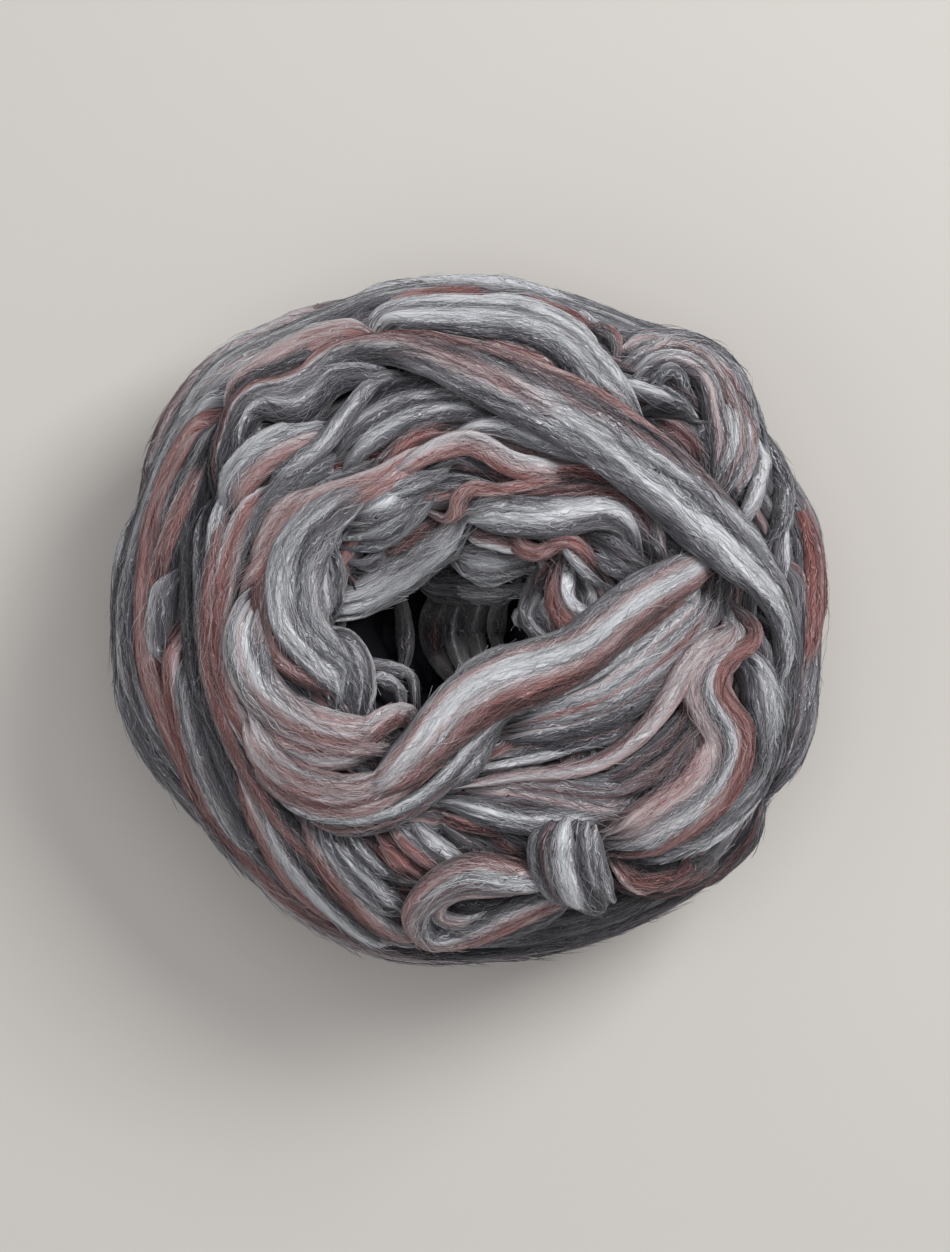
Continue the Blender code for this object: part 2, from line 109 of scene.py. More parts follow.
# Strands.  widths: across, as seen from above, evenly spaced along the route.
# lift: of its middle above the winding's own level.  bands: from the left side
# to the right side as the strand runs, with sections along it parted by a bar.
# Both ends dive under their neighbours.  The name is there to find a strand by.
Strand = namedtuple("Strand", "name widths lift bands route")
STRANDS = (
    # West side, running from the top of the picture down; left is inward
    Strand("west_rim", (6, 9, 10, 10, 9, 6), 0, "GLSCCCW|GLGSLGS", (
        (-104, 47), (-109, 34), (-113, 20), (-114.3, 5), (-113.6, -12), (-111.5, -27),
        (-105, -42), (-96, -54), (-86, -66), (-75, -77))),
    Strand("west_terracotta", (5, 6, 6, 6, 5), (4.4, 3.8, 2.6, 1.6, 1.2, 1, 1), "ROOTB", (
        (-78, 76), (-88, 67.5), (-97, 55), (-103, 40), (-107, 22), (-108.3, 4), (-107.6, -14),
        (-102, -31), (-95, -46), (-86, -62), (-75, -77), (-62, -90), (-48, -101), (-36, -107))),
    Strand("west_lens", (3, 7, 8, 7, 3), 1.5, "SGLLS", (
        (-97, 29), (-100, 16), (-103, 3), (-103.5, -9), (-101.5, -19), (-99, -26))),
    Strand("west_pink", (2, 5, 7, 7, 6), 1.6, "SROROPL", (
        (-82, 66), (-86, 57), (-91, 46), (-95.5, 35), (-99.5, 25), (-103, 15), (-105, 6))),
    Strand("west_streaks", (4, 5, 5, 4), 0.5, "SCLCG", (
        (-86, 64), (-93, 52), (-98, 41), (-101.5, 30), (-104, 18))),
    Strand("west_terracotta_low", (3, 5, 6, 6, 5), 2, "PRTTB", (
        (-94.5, 7), (-97.5, -3), (-99, -13), (-98.6, -24), (-95.5, -37), (-90, -52), (-82, -66),
        (-73, -77))),
    Strand("west_grey_low", (3, 7, 9, 9, 8, 5), 1, "SGLGLP", (
        (-93, -4), (-94.7, -16), (-93.8, -28), (-91, -41), (-86, -53), (-79.5, -65), (-72, -76),
        (-65, -84))),
    Strand("west_slate", (5, 6, 6, 6, 5), 1, "CKSSC", (
        (-83, 67), (-86.5, 55), (-90, 42), (-92.4, 28), (-92.8, 12), (-92.4, -4), (-90.6, -18),
        (-86, -33), (-80.5, -48), (-73, -64), (-65, -77))),
    Strand("west_dark_pair", (3, 5, 5, 3), 2, "SCGSK", (
        (-86, 48), (-88.6, 35), (-89.7, 20), (-89.3, 5), (-89, -10), (-87.4, -24))),
    Strand("tail_charcoal", (3, 5, 5, 3), 4.5, "SCS", (
        (-36, 95.5), (-46, 92.5), (-54, 88), (-62, 84), (-70, 81.5), (-77, 77), (-81, 68),
        (-84, 58))),
    Strand("west_stripe", (4, 6, 6, 6, 6, 5), 2.5, "SRTMG", (
        (-80, 46), (-82.3, 34), (-84.8, 21), (-87, 8), (-87.4, -5), (-86.5, -18), (-82, -33),
        (-75, -48), (-66, -62), (-56, -75), (-44, -89))),
    Strand("west_light", (4, 4, 3), 3, "LWG", (
        (-78, 50), (-82, 43), (-84.3, 34), (-86, 24), (-87.3, 12))),
    Strand("white_line", (6, 8, 8, 8, 8, 7), 2, "GPRTRW", (
        (-58, 48), (-67, 43.5), (-74, 35), (-78.5, 24), (-82, 11), (-83.4, -2), (-82.6, -14),
        (-79, -26), (-72, -37.5), (-62, -46), (-49, -50), (-34, -50.5))),
    Strand("white_wide", (3, 10, 13, 13, 12, 10, 9, 8), 4.5, "PGWLWWL|GLWPLGP|PLPRPPM|MPRPMPM", (
        (-68.3, 16), (-72.5, 8), (-74.8, -2), (-74.2, -12), (-70, -22), (-62, -30.5),
        (-52, -36.5), (-41, -40), (-30, -40), (-20, -35))),
    Strand("fan_west_1", (4, 7, 7, 6), 3.5, "PRPLPM", (
        (-79, -22), (-73, -33), (-64, -40.5), (-52, -45), (-39, -46), (-26, -43))),
    Strand("fan_west_2", (5, 7, 7, 5), 4, "LPRPPB", (
        (-66, -22), (-57, -28.5), (-47, -33), (-38, -35), (-29, -33), (-22, -29))),
    Strand("pink_fold", (5, 8, 8, 6, 4), 4, "RPLPB", (
        (-52, -41), (-42, -41.5), (-34, -37), (-27, -32.5), (-20, -31), (-16, -36), (-17, -42))),
    Strand("inner_rose", (5, 8, 8, 7, 5), 1.5, "BBRMB", (
        (-60, 38), (-66, 24), (-68.3, 10), (-67.3, -2), (-63, -12), (-55, -18.5), (-46, -23),
        (-37, -29))),
    # Upper left
    Strand("rim_northwest", (7, 9, 10, 9, 8), 0, "LPLLPPP|LLPLPPL|LLLGLPM|GGLGLGS", (
        (-40, 107), (-52, 101.5), (-63, 95.5), (-74, 90.5), (-84, 83.5), (-92, 75), (-98.5, 65.5),
        (-102.5, 55), (-106, 45), (-111, 33))),
    Strand("grey_northwest", (4, 6, 6, 5), 1, "LLPLG", (
        (-60, 94), (-69, 88.5), (-76, 83.5), (-83, 79), (-89, 73), (-94.5, 65), (-98, 56))),
    Strand("pink_northwest", (4, 7, 9, 9, 8, 6), 4, "MRPRPPL", (
        (-22, 93), (-30, 95.5), (-38, 96.5), (-49, 94), (-58, 90), (-65, 86), (-71, 82),
        (-77, 77.5), (-81.5, 70), (-85, 61))),
    Strand("light_northwest", (3, 5, 5, 4), 1.8, "LWLG", (
        (-74, 83), (-80, 78), (-87, 72), (-93, 64.5), (-98, 55), (-101, 45))),
    Strand("charcoal_northwest", (4, 6, 6, 4), 1, "SCLSC", (
        (-78, 76), (-83.5, 67), (-88.5, 57), (-92.5, 47), (-96, 37), (-99, 27))),
    Strand("fold_edge", (3, 4, 4, 4, 4, 4, 3.4, 3), 6.4, "GWLG", (
        (-20, 83.5), (-31, 84.8), (-41, 85), (-46.8, 82.4), (-51, 77.6), (-55.5, 74.2),
        (-61, 72.6), (-66.5, 73.4), (-71.5, 71.8), (-75.3, 67), (-77.5, 60.5), (-81, 52))),
    Strand("fold_slate", (5, 6, 6, 6, 5, 5, 4), 5, "CSSC", (
        (-20, 79.5), (-31, 81), (-40, 80.6), (-46.5, 77), (-51, 71.5), (-57.5, 67.8), (-64, 69),
        (-69.7, 69.4), (-73.5, 65.2), (-76, 59), (-79, 51))),
    Strand("pocket_lock", (2, 3, 3, 2), 1, "SLS", (
        (-64, 67.5), (-68.5, 65), (-71, 60), (-74, 54))),
    Strand("wide_grey", (8, 11, 13, 12, 9), 3, "ORPGLLWG", (
        (-38, 70), (-48, 64.5), (-59, 60.5), (-68.5, 55.5), (-76, 48.5), (-81, 39), (-84.5, 28))),
    Strand("white_streak", (3, 5, 6, 6, 4), (1, 4, 6, 6, 5.4, 4),
        "SGSG|SGLG|GLWLG|GLWLG|GLGS|GSGS", (
        (-14, 81), (-23, 82), (-31, 79.5), (-37, 74), (-42.5, 67), (-49, 59), (-57, 53),
        (-65, 47.5), (-72, 40))),
    Strand("slate_northwest", (5, 6, 6, 4), 2, "SGGG", (
        (-40, 60), (-48, 52.5), (-57, 47), (-65, 41), (-71, 31.5), (-75, 21), (-78, 12))),
    Strand("terracotta_wide", (6, 8, 9, 10, 8, 5), (0, 2, 3, 3, 3, 3),
        "BORPROP|BOORPOP|TOORRPO", (
        (-2, 62.5), (-10, 58.5), (-19, 53.3), (-28, 47.5), (-38, 43.5), (-49, 39.5), (-57.5, 33),
        (-63.5, 25), (-69.5, 17), (-76, 11), (-80.5, 3))),
    Strand("terracotta_light", (4, 5, 5, 4), 3.2, "OPPR", (
        (-46, 47), (-56, 43), (-64, 36), (-68.5, 27.5), (-72.5, 19.5), (-78, 12))),
    # Left inner slope
    Strand("inner_left", (4, 7, 12, 16, 17, 16, 14, 11, 8), (1, 3, 4.4, 4.4, 4, 4, 4, 4, 4),
        "SGSGSGS|GSGSLGG|GLGSLWL|GLGLSWL|GLSLGLG", (
        (-21, 48), (-31, 45.5), (-40, 41), (-50, 33), (-57, 22), (-59, 11), (-57.5, 0),
        (-51.5, -9), (-45, -16), (-40.5, -24), (-37.5, -32))),
    Strand("inner_left_grey", (7, 10, 9, 6), 2.5, "GSGL", (
        (-44, 31), (-46.5, 21), (-46.7, 11), (-45.5, 2), (-43, -6))),
    Strand("curly_lock", (6, 8, 9, 7), 6, "GLSGLG", (
        (-52, -3), (-43.5, -4), (-38.5, -11), (-36, -20), (-34.5, -29), (-37, -35))),
    Strand("loose_lock_1", (3, 4, 4, 3), 8, "SLG", (
        (-38, -9), (-32, -14.5), (-25, -16.5), (-19.5, -19), (-17, -24))),
    Strand("loose_lock_2", (3, 4, 3), 6, "GLS", (
        (-36, -16), (-30, -19.5), (-24, -23), (-20, -26.5))),
    # Top rim
    Strand("rim_north", (4, 6, 6, 6, 4), 0, "WWLLS", (
        (-46, 104), (-34, 108.6), (-20, 110.9), (-5, 111.6), (10, 111.6), (23, 108.6),
        (34, 102.6), (43, 96), (50, 90))),
    Strand("terracotta_north", (5, 6, 6, 5, 4), 1, "PRTTR", (
        (-48, 99.5), (-37, 104.5), (-24, 107), (-8, 108), (7, 108), (20, 105.5), (32, 101),
        (42, 97), (50, 93))),
    Strand("brown_northwest", (4, 6, 5), -3, "RTBB", (
        (-60, 96.5), (-51, 99.5), (-43, 100.5), (-35, 99))),
    Strand("tongue", (3, 7, 9, 9, 9, 8, 7, 5), 8, "LWWGLW", (
        (-38.5, 94.5), (-34, 99.8), (-26, 102.3), (-14, 103), (0, 103), (12, 102.5), (23, 99.5),
        (33, 94.5), (41, 87), (47.5, 80), (54, 73), (61, 66))),
    Strand("tongue_low", (3, 6, 6, 6, 6, 5), 6, "LGLGS", (
        (-34, 97), (-24, 98.5), (-12, 98.5), (2, 97.5), (15, 96.5), (26, 92.5), (33.5, 86),
        (39, 79), (46, 73.5), (53, 69))),
    Strand("tongue_top", (2, 4, 5, 5, 3), 6, "WLWL", (
        (-10, 106), (4, 106.3), (16, 105.3), (27, 101.5), (36, 96.5), (43, 90), (49, 83))),
    Strand("under_tongue", (4, 7, 8, 6), 2, "KBGRB", (
        (-30, 95), (-14, 95.5), (0, 94), (13, 91.5), (25, 87), (34, 81), (41, 75))),
    Strand("tuft_north", (2, 3, 3, 2), 4, "SGLS", (
        (26, 91), (31, 88.5), (33.8, 84), (34.5, 78), (37, 73))),
    # The long strand that crosses over the top from left to right
    Strand("cross", (4, 5, 6.5, 7.5, 7.5, 8, 9.5, 13, 17, 19, 20, 21, 21, 21, 20, 18, 12,
                     8, 6, 4),
        (4, 5, 6, 6.5, 6.5, 7, 8, 10, 10, 10, 10, 10, 10, 10, 10, 10, 10, 9.4, 8, 6),
        "CTRLSSC|CTTLSSC|STTRLSGG|RTTRLSGG|RTMRPLSC|CMRMSMPMPG|RMMSGPMPLG"
        "|RMSMLWLGLG|RSMGLGWLGL|SMGLGSLWLG|SGLGSWWLG|SGGSLWWLS|SGSLWGS|SSGLSC", (
        (-88, 36), (-86, 44), (-83.5, 53), (-80.3, 62), (-77, 71), (-70, 76.5), (-62, 78),
        (-55.5, 81), (-49, 86), (-41, 89.5), (-32, 91), (-23, 91), (-14, 89.3), (-4, 86), (6, 82),
        (17, 77), (28, 71.5), (39, 65.5), (50, 58.5), (60, 51), (69, 43.5), (78, 34.5),
        (87, 25.5), (95.5, 16.5), (101.5, 7.5), (104.6, -2), (105.4, -12), (104.4, -22),
        (102, -31))),
    Strand("cross_white", (1.5, 2.4, 2.6, 2.2, 2.4, 2.2, 1.8), 13, "LWWL", (
        (12, 79), (22, 73.5), (33, 67.3), (41, 60), (48, 55.3), (56, 48), (63, 43))),
    Strand("cross_glint", (1.6, 2.6, 3.4, 3.2, 2.6, 2), 12.6, "GLWWG|GLWWG|GLWLG|SGLG", (
        (72, 37.5), (79, 30), (85.5, 22), (92, 15), (99, 8.5), (104, 0.5), (106.4, -9),
        (106, -19))),
    Strand("cross_slate", (3, 5, 5, 4), 12, "SCS", (
        (-12, 93.5), (-2, 91), (8, 86.5), (19, 81.5), (29, 76), (38, 71))),
    # Upper inner arcs, running left to right; left is outward
    Strand("arc_slate", (4, 6, 6, 5), 2, "SCKS", (
        (-52, 55), (-45, 64), (-37, 71.5), (-28, 76.8), (-16, 78.6), (-4, 77.5), (7, 73))),
    Strand("arc_grey_1", (5, 7, 7, 5), 1.6, "GLGSG", (
        (-50, 51), (-41, 60.5), (-32, 67.5), (-22, 72.5), (-10, 75), (1, 73.2), (11, 68))),
    Strand("arc_grey_2", (5, 6, 6, 4), 1.4, "LGLGS", (
        (-48, 46), (-39, 54.5), (-30, 61.5), (-20, 66.7), (-8, 69.5), (4, 68.8), (15, 65))),
    Strand("arc_terracotta", (4, 5, 5, 3), 2.4, "MTRB", (
        (-38, 48), (-29, 53.5), (-22, 59), (-15, 62.7), (-7, 64.6), (0, 66))),
    Strand("arc_white", (4, 6, 7, 7, 5), 2.6, "GLWLG", (
        (-14, 58.5), (-7, 62), (2, 64.4), (11, 64), (20, 61), (30, 58), (40, 55), (50, 49.5),
        (56, 43))),
    Strand("arc_rose", (3, 5, 7, 7, 7, 5), (3, 5, 5, 4.5, 4.5, 4.5), "PLPRO|LPPRO", (
        (-34, 44.5), (-24, 50), (-15, 55.5), (-8, 58.2), (-1, 59.5), (5.5, 57.3), (11, 53.7),
        (18, 51), (28, 50.3), (40, 50))),
    Strand("arc_brown", (4, 7, 7, 6), 1.6, "TBKB", (
        (13, 46.5), (24, 48), (35, 48.3), (45, 46), (52, 41), (57, 34))),
    Strand("tip_fan", (4, 7, 7, 5, 2), 2.6, "GLGLS", (
        (-42, 37.5), (-33, 41), (-23, 44.5), (-13, 47.2), (-5.5, 50.5), (-0.5, 55.5))),
    Strand("slate_patch", (3, 5, 5), 1.8, "SGSG", (
        (-20, 50), (-12, 52.3), (-4, 55), (4, 52), (10, 49))),
    Strand("inner_upper_1", (5, 8, 8, 6), 3.4, "GWLGS", (
        (-46, 29.5), (-37, 33.5), (-28, 38.5), (-19, 43), (-10, 46.5))),
    Strand("inner_upper_2", (5, 8, 8, 6), 2.6, "LGSGG", (
        (-45, 22), (-36, 25), (-27, 30), (-19, 36), (-12.5, 41.5), (-8, 45))),
    Strand("inner_upper_3", (4, 6, 5), 1.8, "GSLS", (
        (-43, 16.5), (-36, 17.5), (-29, 20.5), (-23, 26))),
    Strand("terracotta_hook", (4, 5, 5, 4, 4, 4), 4, "ROOT|RORB|MTRB", (
        (-20, 30.5), (-13.5, 32), (-8, 33), (-4.8, 36.5), (-3.5, 41), (1, 44), (9, 43.3),
        (18, 44.8), (29, 46.6), (40, 47))),
    Strand("diagonal_rose", (4, 7, 7, 5), 2, "BBRB", (
        (-35, 15.5), (-28, 20.5), (-21, 25), (-13, 28.5), (-4, 32))),
    Strand("diagonal", (9, 10, 11, 12, 12, 11, 8, 4), (-4, 0, 4, 5, 5, 5, 5, 5),
        "LWGLGL|GLWLSG|GLGLSG", (
        (-53, -1), (-45, 3), (-37, 7.5), (-29, 12.3), (-21.5, 17), (-14.5, 21.7), (-8.5, 26.2),
        (-3.7, 31), (-0.5, 36.5), (0.5, 42))),
    Strand("brown_spot", (3, 4, 3), 1, "KBK", (
        (-39.5, 18), (-38.6, 12), (-37.5, 5))),
    Strand("white_bar", (8, 10, 11, 12, 12, 10, 9, 7, 6),
        (1, 4.5, 5.5, 5.5, 5.5, 5.5, 5.5, 5.5, 5.5),
        "GLWLGLS|GLWWLGS|GLWLGSG", (
        (-10, 32), (-2, 33.5), (6, 35), (15, 34.6), (24, 34), (33, 34.7), (42, 36), (49.5, 34),
        (54.7, 28), (58, 19))),
    Strand("bar_back", (4, 6, 6, 5), 2.4, "MBMG", (
        (3, 40), (15, 40.3), (28, 42), (40, 42.8), (50.5, 40.5), (57.5, 34), (61.5, 26),
        (64, 18))),
    Strand("bar_shadow", (5, 8, 7), 1.8, "SGSCG", (
        (34, 31.5), (42, 28.3), (49, 23.7), (56, 19.3), (64, 16.5))),
    Strand("right_slate", (4, 6, 6), 1.2, "GSG", (
        (36, 24), (43, 20), (50, 17), (58, 15))),
    Strand("right_locks", (3, 5, 5), 1.6, "GPGS", (
        (59, 39), (61.5, 31), (64, 24), (69, 19))),
    Strand("white_tip", (3, 4, 4.4, 4, 3), 5, "MPWL", (
        (-10, 26.5), (-3, 27.8), (3, 27.5), (9, 26.6), (14.5, 24), (19, 21), (24, 18.3))),
    Strand("terracotta_curl", (3, 5, 5, 5, 5, 4), 5, "RTTB|RTRB|MTTB", (
        (1, 30.3), (8, 29.7), (14, 27), (19, 24), (24, 23.3), (28.5, 26), (33, 27), (38, 23.5),
        (43, 17.5), (48.5, 11.5))),
    Strand("shelf_1", (5, 7, 6), 4.2, "GLWLG", (
        (-12, 22), (-3, 22), (6, 21), (14, 19), (22, 17.5))),
    Strand("shelf_2", (6, 9, 9, 5), 4, "LGLGLS", (
        (-15, 15.5), (-5, 16.8), (5, 16.6), (14, 15), (22, 11.5))),
    Strand("shelf_3", (5, 8, 7, 4), 2.2, "GLGSG", (
        (-20, 11), (-9, 11), (2, 9.8), (12, 8.6), (20, 6))),
    Strand("brown_gap", (5, 7, 6), 1.4, "BKB", (
        (31, 22), (27, 16), (24.5, 10), (22, 4))),
    Strand("white_curl", (1.5, 3, 3.6, 2.4), 6, "GLWLG", (
        (24, 31), (29.5, 26), (34.4, 20.8), (38.6, 16.4), (43, 12.8), (48.5, 9.5))),
    Strand("white_curl_2", (1.5, 2.8, 3.2, 3.2, 2.8, 2), 7, "LWWP", (
        (29.5, 25), (30.8, 18), (32, 11.5), (33.6, 6.4), (37, 3.4), (42, 4.6), (46, 10))),
    Strand("terracotta_spot", (4, 5, 6, 7, 7, 6, 5), 4.8, "RTTB", (
        (29, 25), (28, 18), (28.2, 10.5), (29.8, 3.8), (33.8, -1.6), (39.6, 0.4), (43.6, 5),
        (47, 11))),
    Strand("curl_outer", (6, 9, 10, 10, 9, 7), 3.4, "GSLGSG", (
        (18, 20), (19.3, 12.5), (20.6, 5.5), (23.4, -1.5), (28.8, -7), (36, -10), (43, -9))),
    Strand("curl_inner", (3, 5, 5, 4), 4, "SLGS", (
        (25, 16), (25.4, 9), (27, 2.4), (31, -3.4), (37, -5.5))),
    Strand("curl_edge", (2, 4, 2), 1, "SLS", (
        (18.3, 7), (17, 1), (18.5, -5))),
    # The broad bridge beside the hollow, running from lower left to upper right
    Strand("bridge", (7, 10, 14, 17, 18, 18, 17, 16, 15, 14, 12, 8),
        (7, 8.5, 9, 9, 9, 9, 9, 9, 8.5, 7, 4, 0),
        "GPRLPWPLPRTB|GGRPWWWWPLMRB|GGRPWWWWWLPRTB|GLGRPWWWWLPRMB|GLPWWWLPMRB", (
        (-42, -62.5), (-35, -58.5), (-26, -51.5), (-17.5, -43), (-8.5, -34), (1.5, -25.5),
        (13, -20), (25, -15.8), (36, -10.5), (45, -3), (53.5, 4.5), (63, 11), (72, 16), (80, 21),
        (88, 27))),
    Strand("bridge_foot", (5, 8, 10, 11, 11, 10, 8, 6), 7, "LPWPRPLRT|PLPRPWPRT|LPRLPRPMB", (
        (-78, -24), (-75, -33), (-70, -42), (-62.5, -50), (-53, -55), (-43, -57), (-34, -55.5),
        (-26, -50), (-19, -43))),
    Strand("bridge_foot_low", (4, 6, 7, 7, 6, 5), 6, "RPLPM|LPRPM|WLPRB", (
        (-76, -38), (-70, -48.5), (-62, -56.5), (-52, -61.3), (-41, -62.7), (-31, -60.5),
        (-22, -54.5), (-13, -46))),
    Strand("foot_line", (1.2, 1.8, 1.8, 1.4), 9.8, "RTR", (
        (-71, -42), (-67, -49.5), (-60.5, -54.8), (-52, -57.4), (-43, -58.6), (-35, -58))),
    Strand("bridge_grey", (4, 7, 8, 8, 7, 5), 6.5, "GLGLR", (
        (-12, -31), (-6, -23.5), (1, -16.8), (10, -12.8), (21, -10.2), (31, -7.4), (39.5, -2),
        (47, 5), (55.5, 12), (65, 17), (73, 20))),
    Strand("bridge_brown", (2.4, 2.6, 3, 3, 2.6, 2.6, 2.4), 5.5, "MTB", (
        (-31, -62), (-22, -57), (-12, -48.5), (-3, -39), (5, -31), (14, -25.5), (25, -21.5),
        (37, -17.3), (47, -11), (57, -3), (67, 4.5), (75, 11), (77, 18))),
    Strand("under_bridge", (3, 4, 5, 5, 4, 4, 3), 6.5, "SWWLS", (
        (-69, -49), (-63, -58), (-54.5, -63.5), (-44, -66), (-34, -65.6), (-24, -62.4),
        (-15, -57), (-7, -50), (0, -42), (6, -35.5), (13, -30), (23, -25.8), (34, -21.8),
        (45, -16.5), (55, -10))),
    Strand("under_bridge_2", (3, 5, 5, 4), 4, "SBMS", (
        (-62, -64), (-51, -68), (-39, -69), (-28, -66.8), (-18, -61.5), (-9, -54.5), (-2, -47),
        (4, -40))),
    Strand("grey_below_bridge", (3, 5, 5, 4), 4, "GLGS", (
        (-14, -62), (-7, -57), (-1, -51), (4, -44.5), (8, -38), (13, -33))),
    # Lower right fan, running left to right; left is upward
    Strand("fan_1", (4, 6, 6, 6, 5), 2, "SLLGS", (
        (11, -29), (21, -26.5), (32, -23), (43, -18.5), (53, -11.5), (62, -4), (70, 3.5),
        (77, 11), (80, 18))),
    Strand("fan_2", (4, 7, 7, 7, 6), 3, "GLPLLG", (
        (9, -33), (20, -30), (32, -26.5), (43, -22.5), (53, -16), (62, -9), (70, -1.5), (77, 6.5),
        (81, 14))),
    Strand("fan_3", (4, 7, 8, 8, 7), 3, "GLRLGM", (
        (9, -36.5), (21, -34.3), (33, -31.4), (45, -27.5), (56, -21), (66, -13), (74, -4.5),
        (80.5, 4), (84, 11))),
    Strand("fan_4", (4, 7, 8, 7, 5), 2.4, "LWLGSC", (
        (7, -40), (20, -38.8), (33, -36.4), (46, -32.5), (57, -26.5), (66.5, -18.5), (74, -9.5),
        (80, -2))),
    Strand("fan_5", (4, 6, 6, 4), 1, "CRSSG", (
        (3, -47), (14, -44), (26, -41.8), (38, -39.5), (49, -36.2), (58, -31), (66, -24))),
    Strand("pale_strip", (1.4, 3, 3.4, 3.2, 2.4, 1.6), 4, "LWG", (
        (-8, -52), (3, -49.6), (14, -47.4), (24, -45.5), (33, -43.6), (44, -41))),
    Strand("gap_white", (3, 4, 3), -3, "LWL", (
        (40.5, -53), (41.5, -46), (42, -38))),
    Strand("gap_rose", (3, 5, 3), -3, "BTR", (
        (46, -52), (46, -44), (46.5, -36))),
    Strand("gap_green", (3, 4, 3), -3.5, "SGS", (
        (37, -51), (36.5, -45), (36, -38))),
    Strand("pink_strip", (1.4, 1.6, 3, 4, 4.5, 5, 6, 7, 8, 8, 6),
        (2, 3.4, 4.6, 5, 5, 5, 6, 6, 6, 6, 5), "MPWPM|MPWPR|PWPPRM", (
        (-16, -58.5), (-5, -55.8), (6, -53.6), (18, -51.3), (30, -50.2), (41, -47.6), (49, -43.6),
        (56, -38.5), (62, -32), (67.3, -24.5), (72.5, -16), (79, -9), (87, -3.5), (94, -1))),
    Strand("s_left", (4, 7, 8, 8, 6), 3, "MGMSB", (
        (84, -8), (76.5, -19), (74, -30), (72.5, -41), (67, -50), (59, -57.5), (50, -63))),
    Strand("low_wide_1", (5, 8, 8, 8, 7), 2, "GLMGMB", (
        (-6, -55.5), (5, -53.6), (17, -53), (29, -53.8), (40, -55.2), (50, -54), (59, -49),
        (67, -41.5), (73, -33))),
    Strand("low_wide_2", (5, 8, 8, 7), 2.4, "RGPGM", (
        (-10, -59), (3, -57.6), (16, -57.8), (28, -60), (40, -62), (51, -61), (60, -55))),
    Strand("low_white", (5, 8, 9, 9, 8, 5), 4, "GWGLSG", (
        (-16, -62), (-6, -61.6), (4, -63.3), (14, -65.9), (25, -66.8), (36, -66.3), (46, -65),
        (54, -61))),
    Strand("low_lilac", (5, 8, 9, 9, 7), 3.4, "SMCMB", (
        (34, -56), (45, -54.5), (54, -50), (62.5, -44), (70, -36.5), (76, -27.5), (79, -18))),
    Strand("low_rose_edge", (2, 4, 4, 3), 2.4, "TBB", (
        (-19, -62.5), (-10, -66), (0, -67.8), (9, -69.5), (18, -71.5), (25, -70))),
    Strand("s_curve", (5, 11, 14, 15, 16, 18, 20, 19, 17, 13, 10), 6,
        "TMPLPRGM|TRLWLGPPM|TRLWLGPRM|TBGLPPRPM", (
        (93, 7), (91.5, -2), (86.5, -8.7), (80.5, -14.5), (78.3, -21.5), (81, -28.5),
        (84.6, -35.5), (84.8, -43), (80.6, -51.5), (74.5, -58.5), (66, -64.5), (57, -70),
        (48.5, -75), (40, -79))),
    Strand("s_terracotta", (3, 4.5, 5, 5, 6, 8, 9, 8, 7, 5, 4),
        (8, 8.6, 9, 9, 9, 8.6, 8.4, 8.4, 8, 8, 7),
        "BOTB|BTOOR|BTOTRP|BTTRTR", (
        (91, 8), (95, 2.5), (96, -3.5), (92.5, -8.3), (87, -11.6), (83.3, -16), (82.3, -21.5),
        (84.5, -26.2), (88, -30.2), (90.5, -35), (90.6, -41), (88, -47.5), (83.5, -54),
        (77.5, -60), (70, -65), (62, -70), (54, -76))),
    Strand("grey_curl", (6, 10, 12, 12, 10, 7), 3.4, "GSLWGS|GLWLGS|SGLGSG", (
        (87, -6), (92.4, -11), (96, -18), (97.4, -26), (98.4, -34.5), (98, -43.5), (95, -52))),
    Strand("east_fill", (8, 13, 14, 10), 0.5, "SGSGS", (
        (94, 8), (98, -4), (99.5, -15), (99.5, -27), (97, -40))),
    Strand("cross_east", (7, 9, 10, 11, 11.5, 11, 9, 7), 3, "GSGSGS", (
        (105.2, -4), (104, -14), (103, -24), (101.5, -34), (99, -44), (94, -53.5), (86.5, -61),
        (77.5, -68), (68, -74), (58, -79), (49, -82))),
    Strand("east_white", (2, 4, 5, 5, 4), 4.6, "WWL", (
        (101.5, -38), (99, -48), (94.3, -58), (87.5, -66), (79, -72.3), (69.5, -77.6),
        (59, -82))),
    Strand("rim_east_rose", (4, 8, 10, 10, 9, 6), (0, 1, 1.4, 1.4, 1.4, 0.5),
        "RMTTBR|BTRTBM", (
        (103, 49), (108, 40), (111.6, 30), (113.4, 18), (113.4, 6), (112, -5), (110, -15),
        (107, -25))),
    Strand("rim_east_grey", (5, 8, 9, 9, 7), 0, "GSGSM", (
        (114, 0), (113, -10), (111.3, -20), (110, -33), (106.5, -43.5), (101, -53), (95, -61.5))),
    Strand("second_east", (4, 6, 7, 7, 5), 0.4, "BMSSG", (
        (106.5, 30), (108, 18), (108.4, 5), (107.6, -10), (106.3, -24), (103.5, -38), (99, -50),
        (94, -58))),
    Strand("east_light", (2, 4, 4, 3), 1.2, "LWG", (
        (106.3, 40), (104.4, 31), (103.4, 22), (105, 12), (107, 3))),
    Strand("charcoal_northeast", (4, 6, 7, 7, 5), 0.6, "GSGSC", (
        (89, 72), (95, 64), (100, 56), (103.5, 47), (104, 37), (102, 27), (100, 16))),
    Strand("white_northeast", (2, 3.6, 5, 5, 3), 3.4, "GLWG", (
        (93, 74), (96, 65), (97.4, 56), (96.6, 47.5), (94, 39.5), (89.5, 31), (84, 24))),
    Strand("hoop_outer", (4, 6, 7, 6, 5), 2, "SGLPG|GGLRL|GLGRW|SMRLW", (
        (44, 90), (53, 93.2), (63, 94.3), (72, 93), (80, 89), (86.5, 82.5), (90.5, 74.5),
        (92.6, 65.5), (92.3, 55.5), (90, 46), (87, 38))),
    Strand("hoop_middle", (4, 6, 6, 6, 5), 2.6, "SGLPS|MGLPM|MLGRM", (
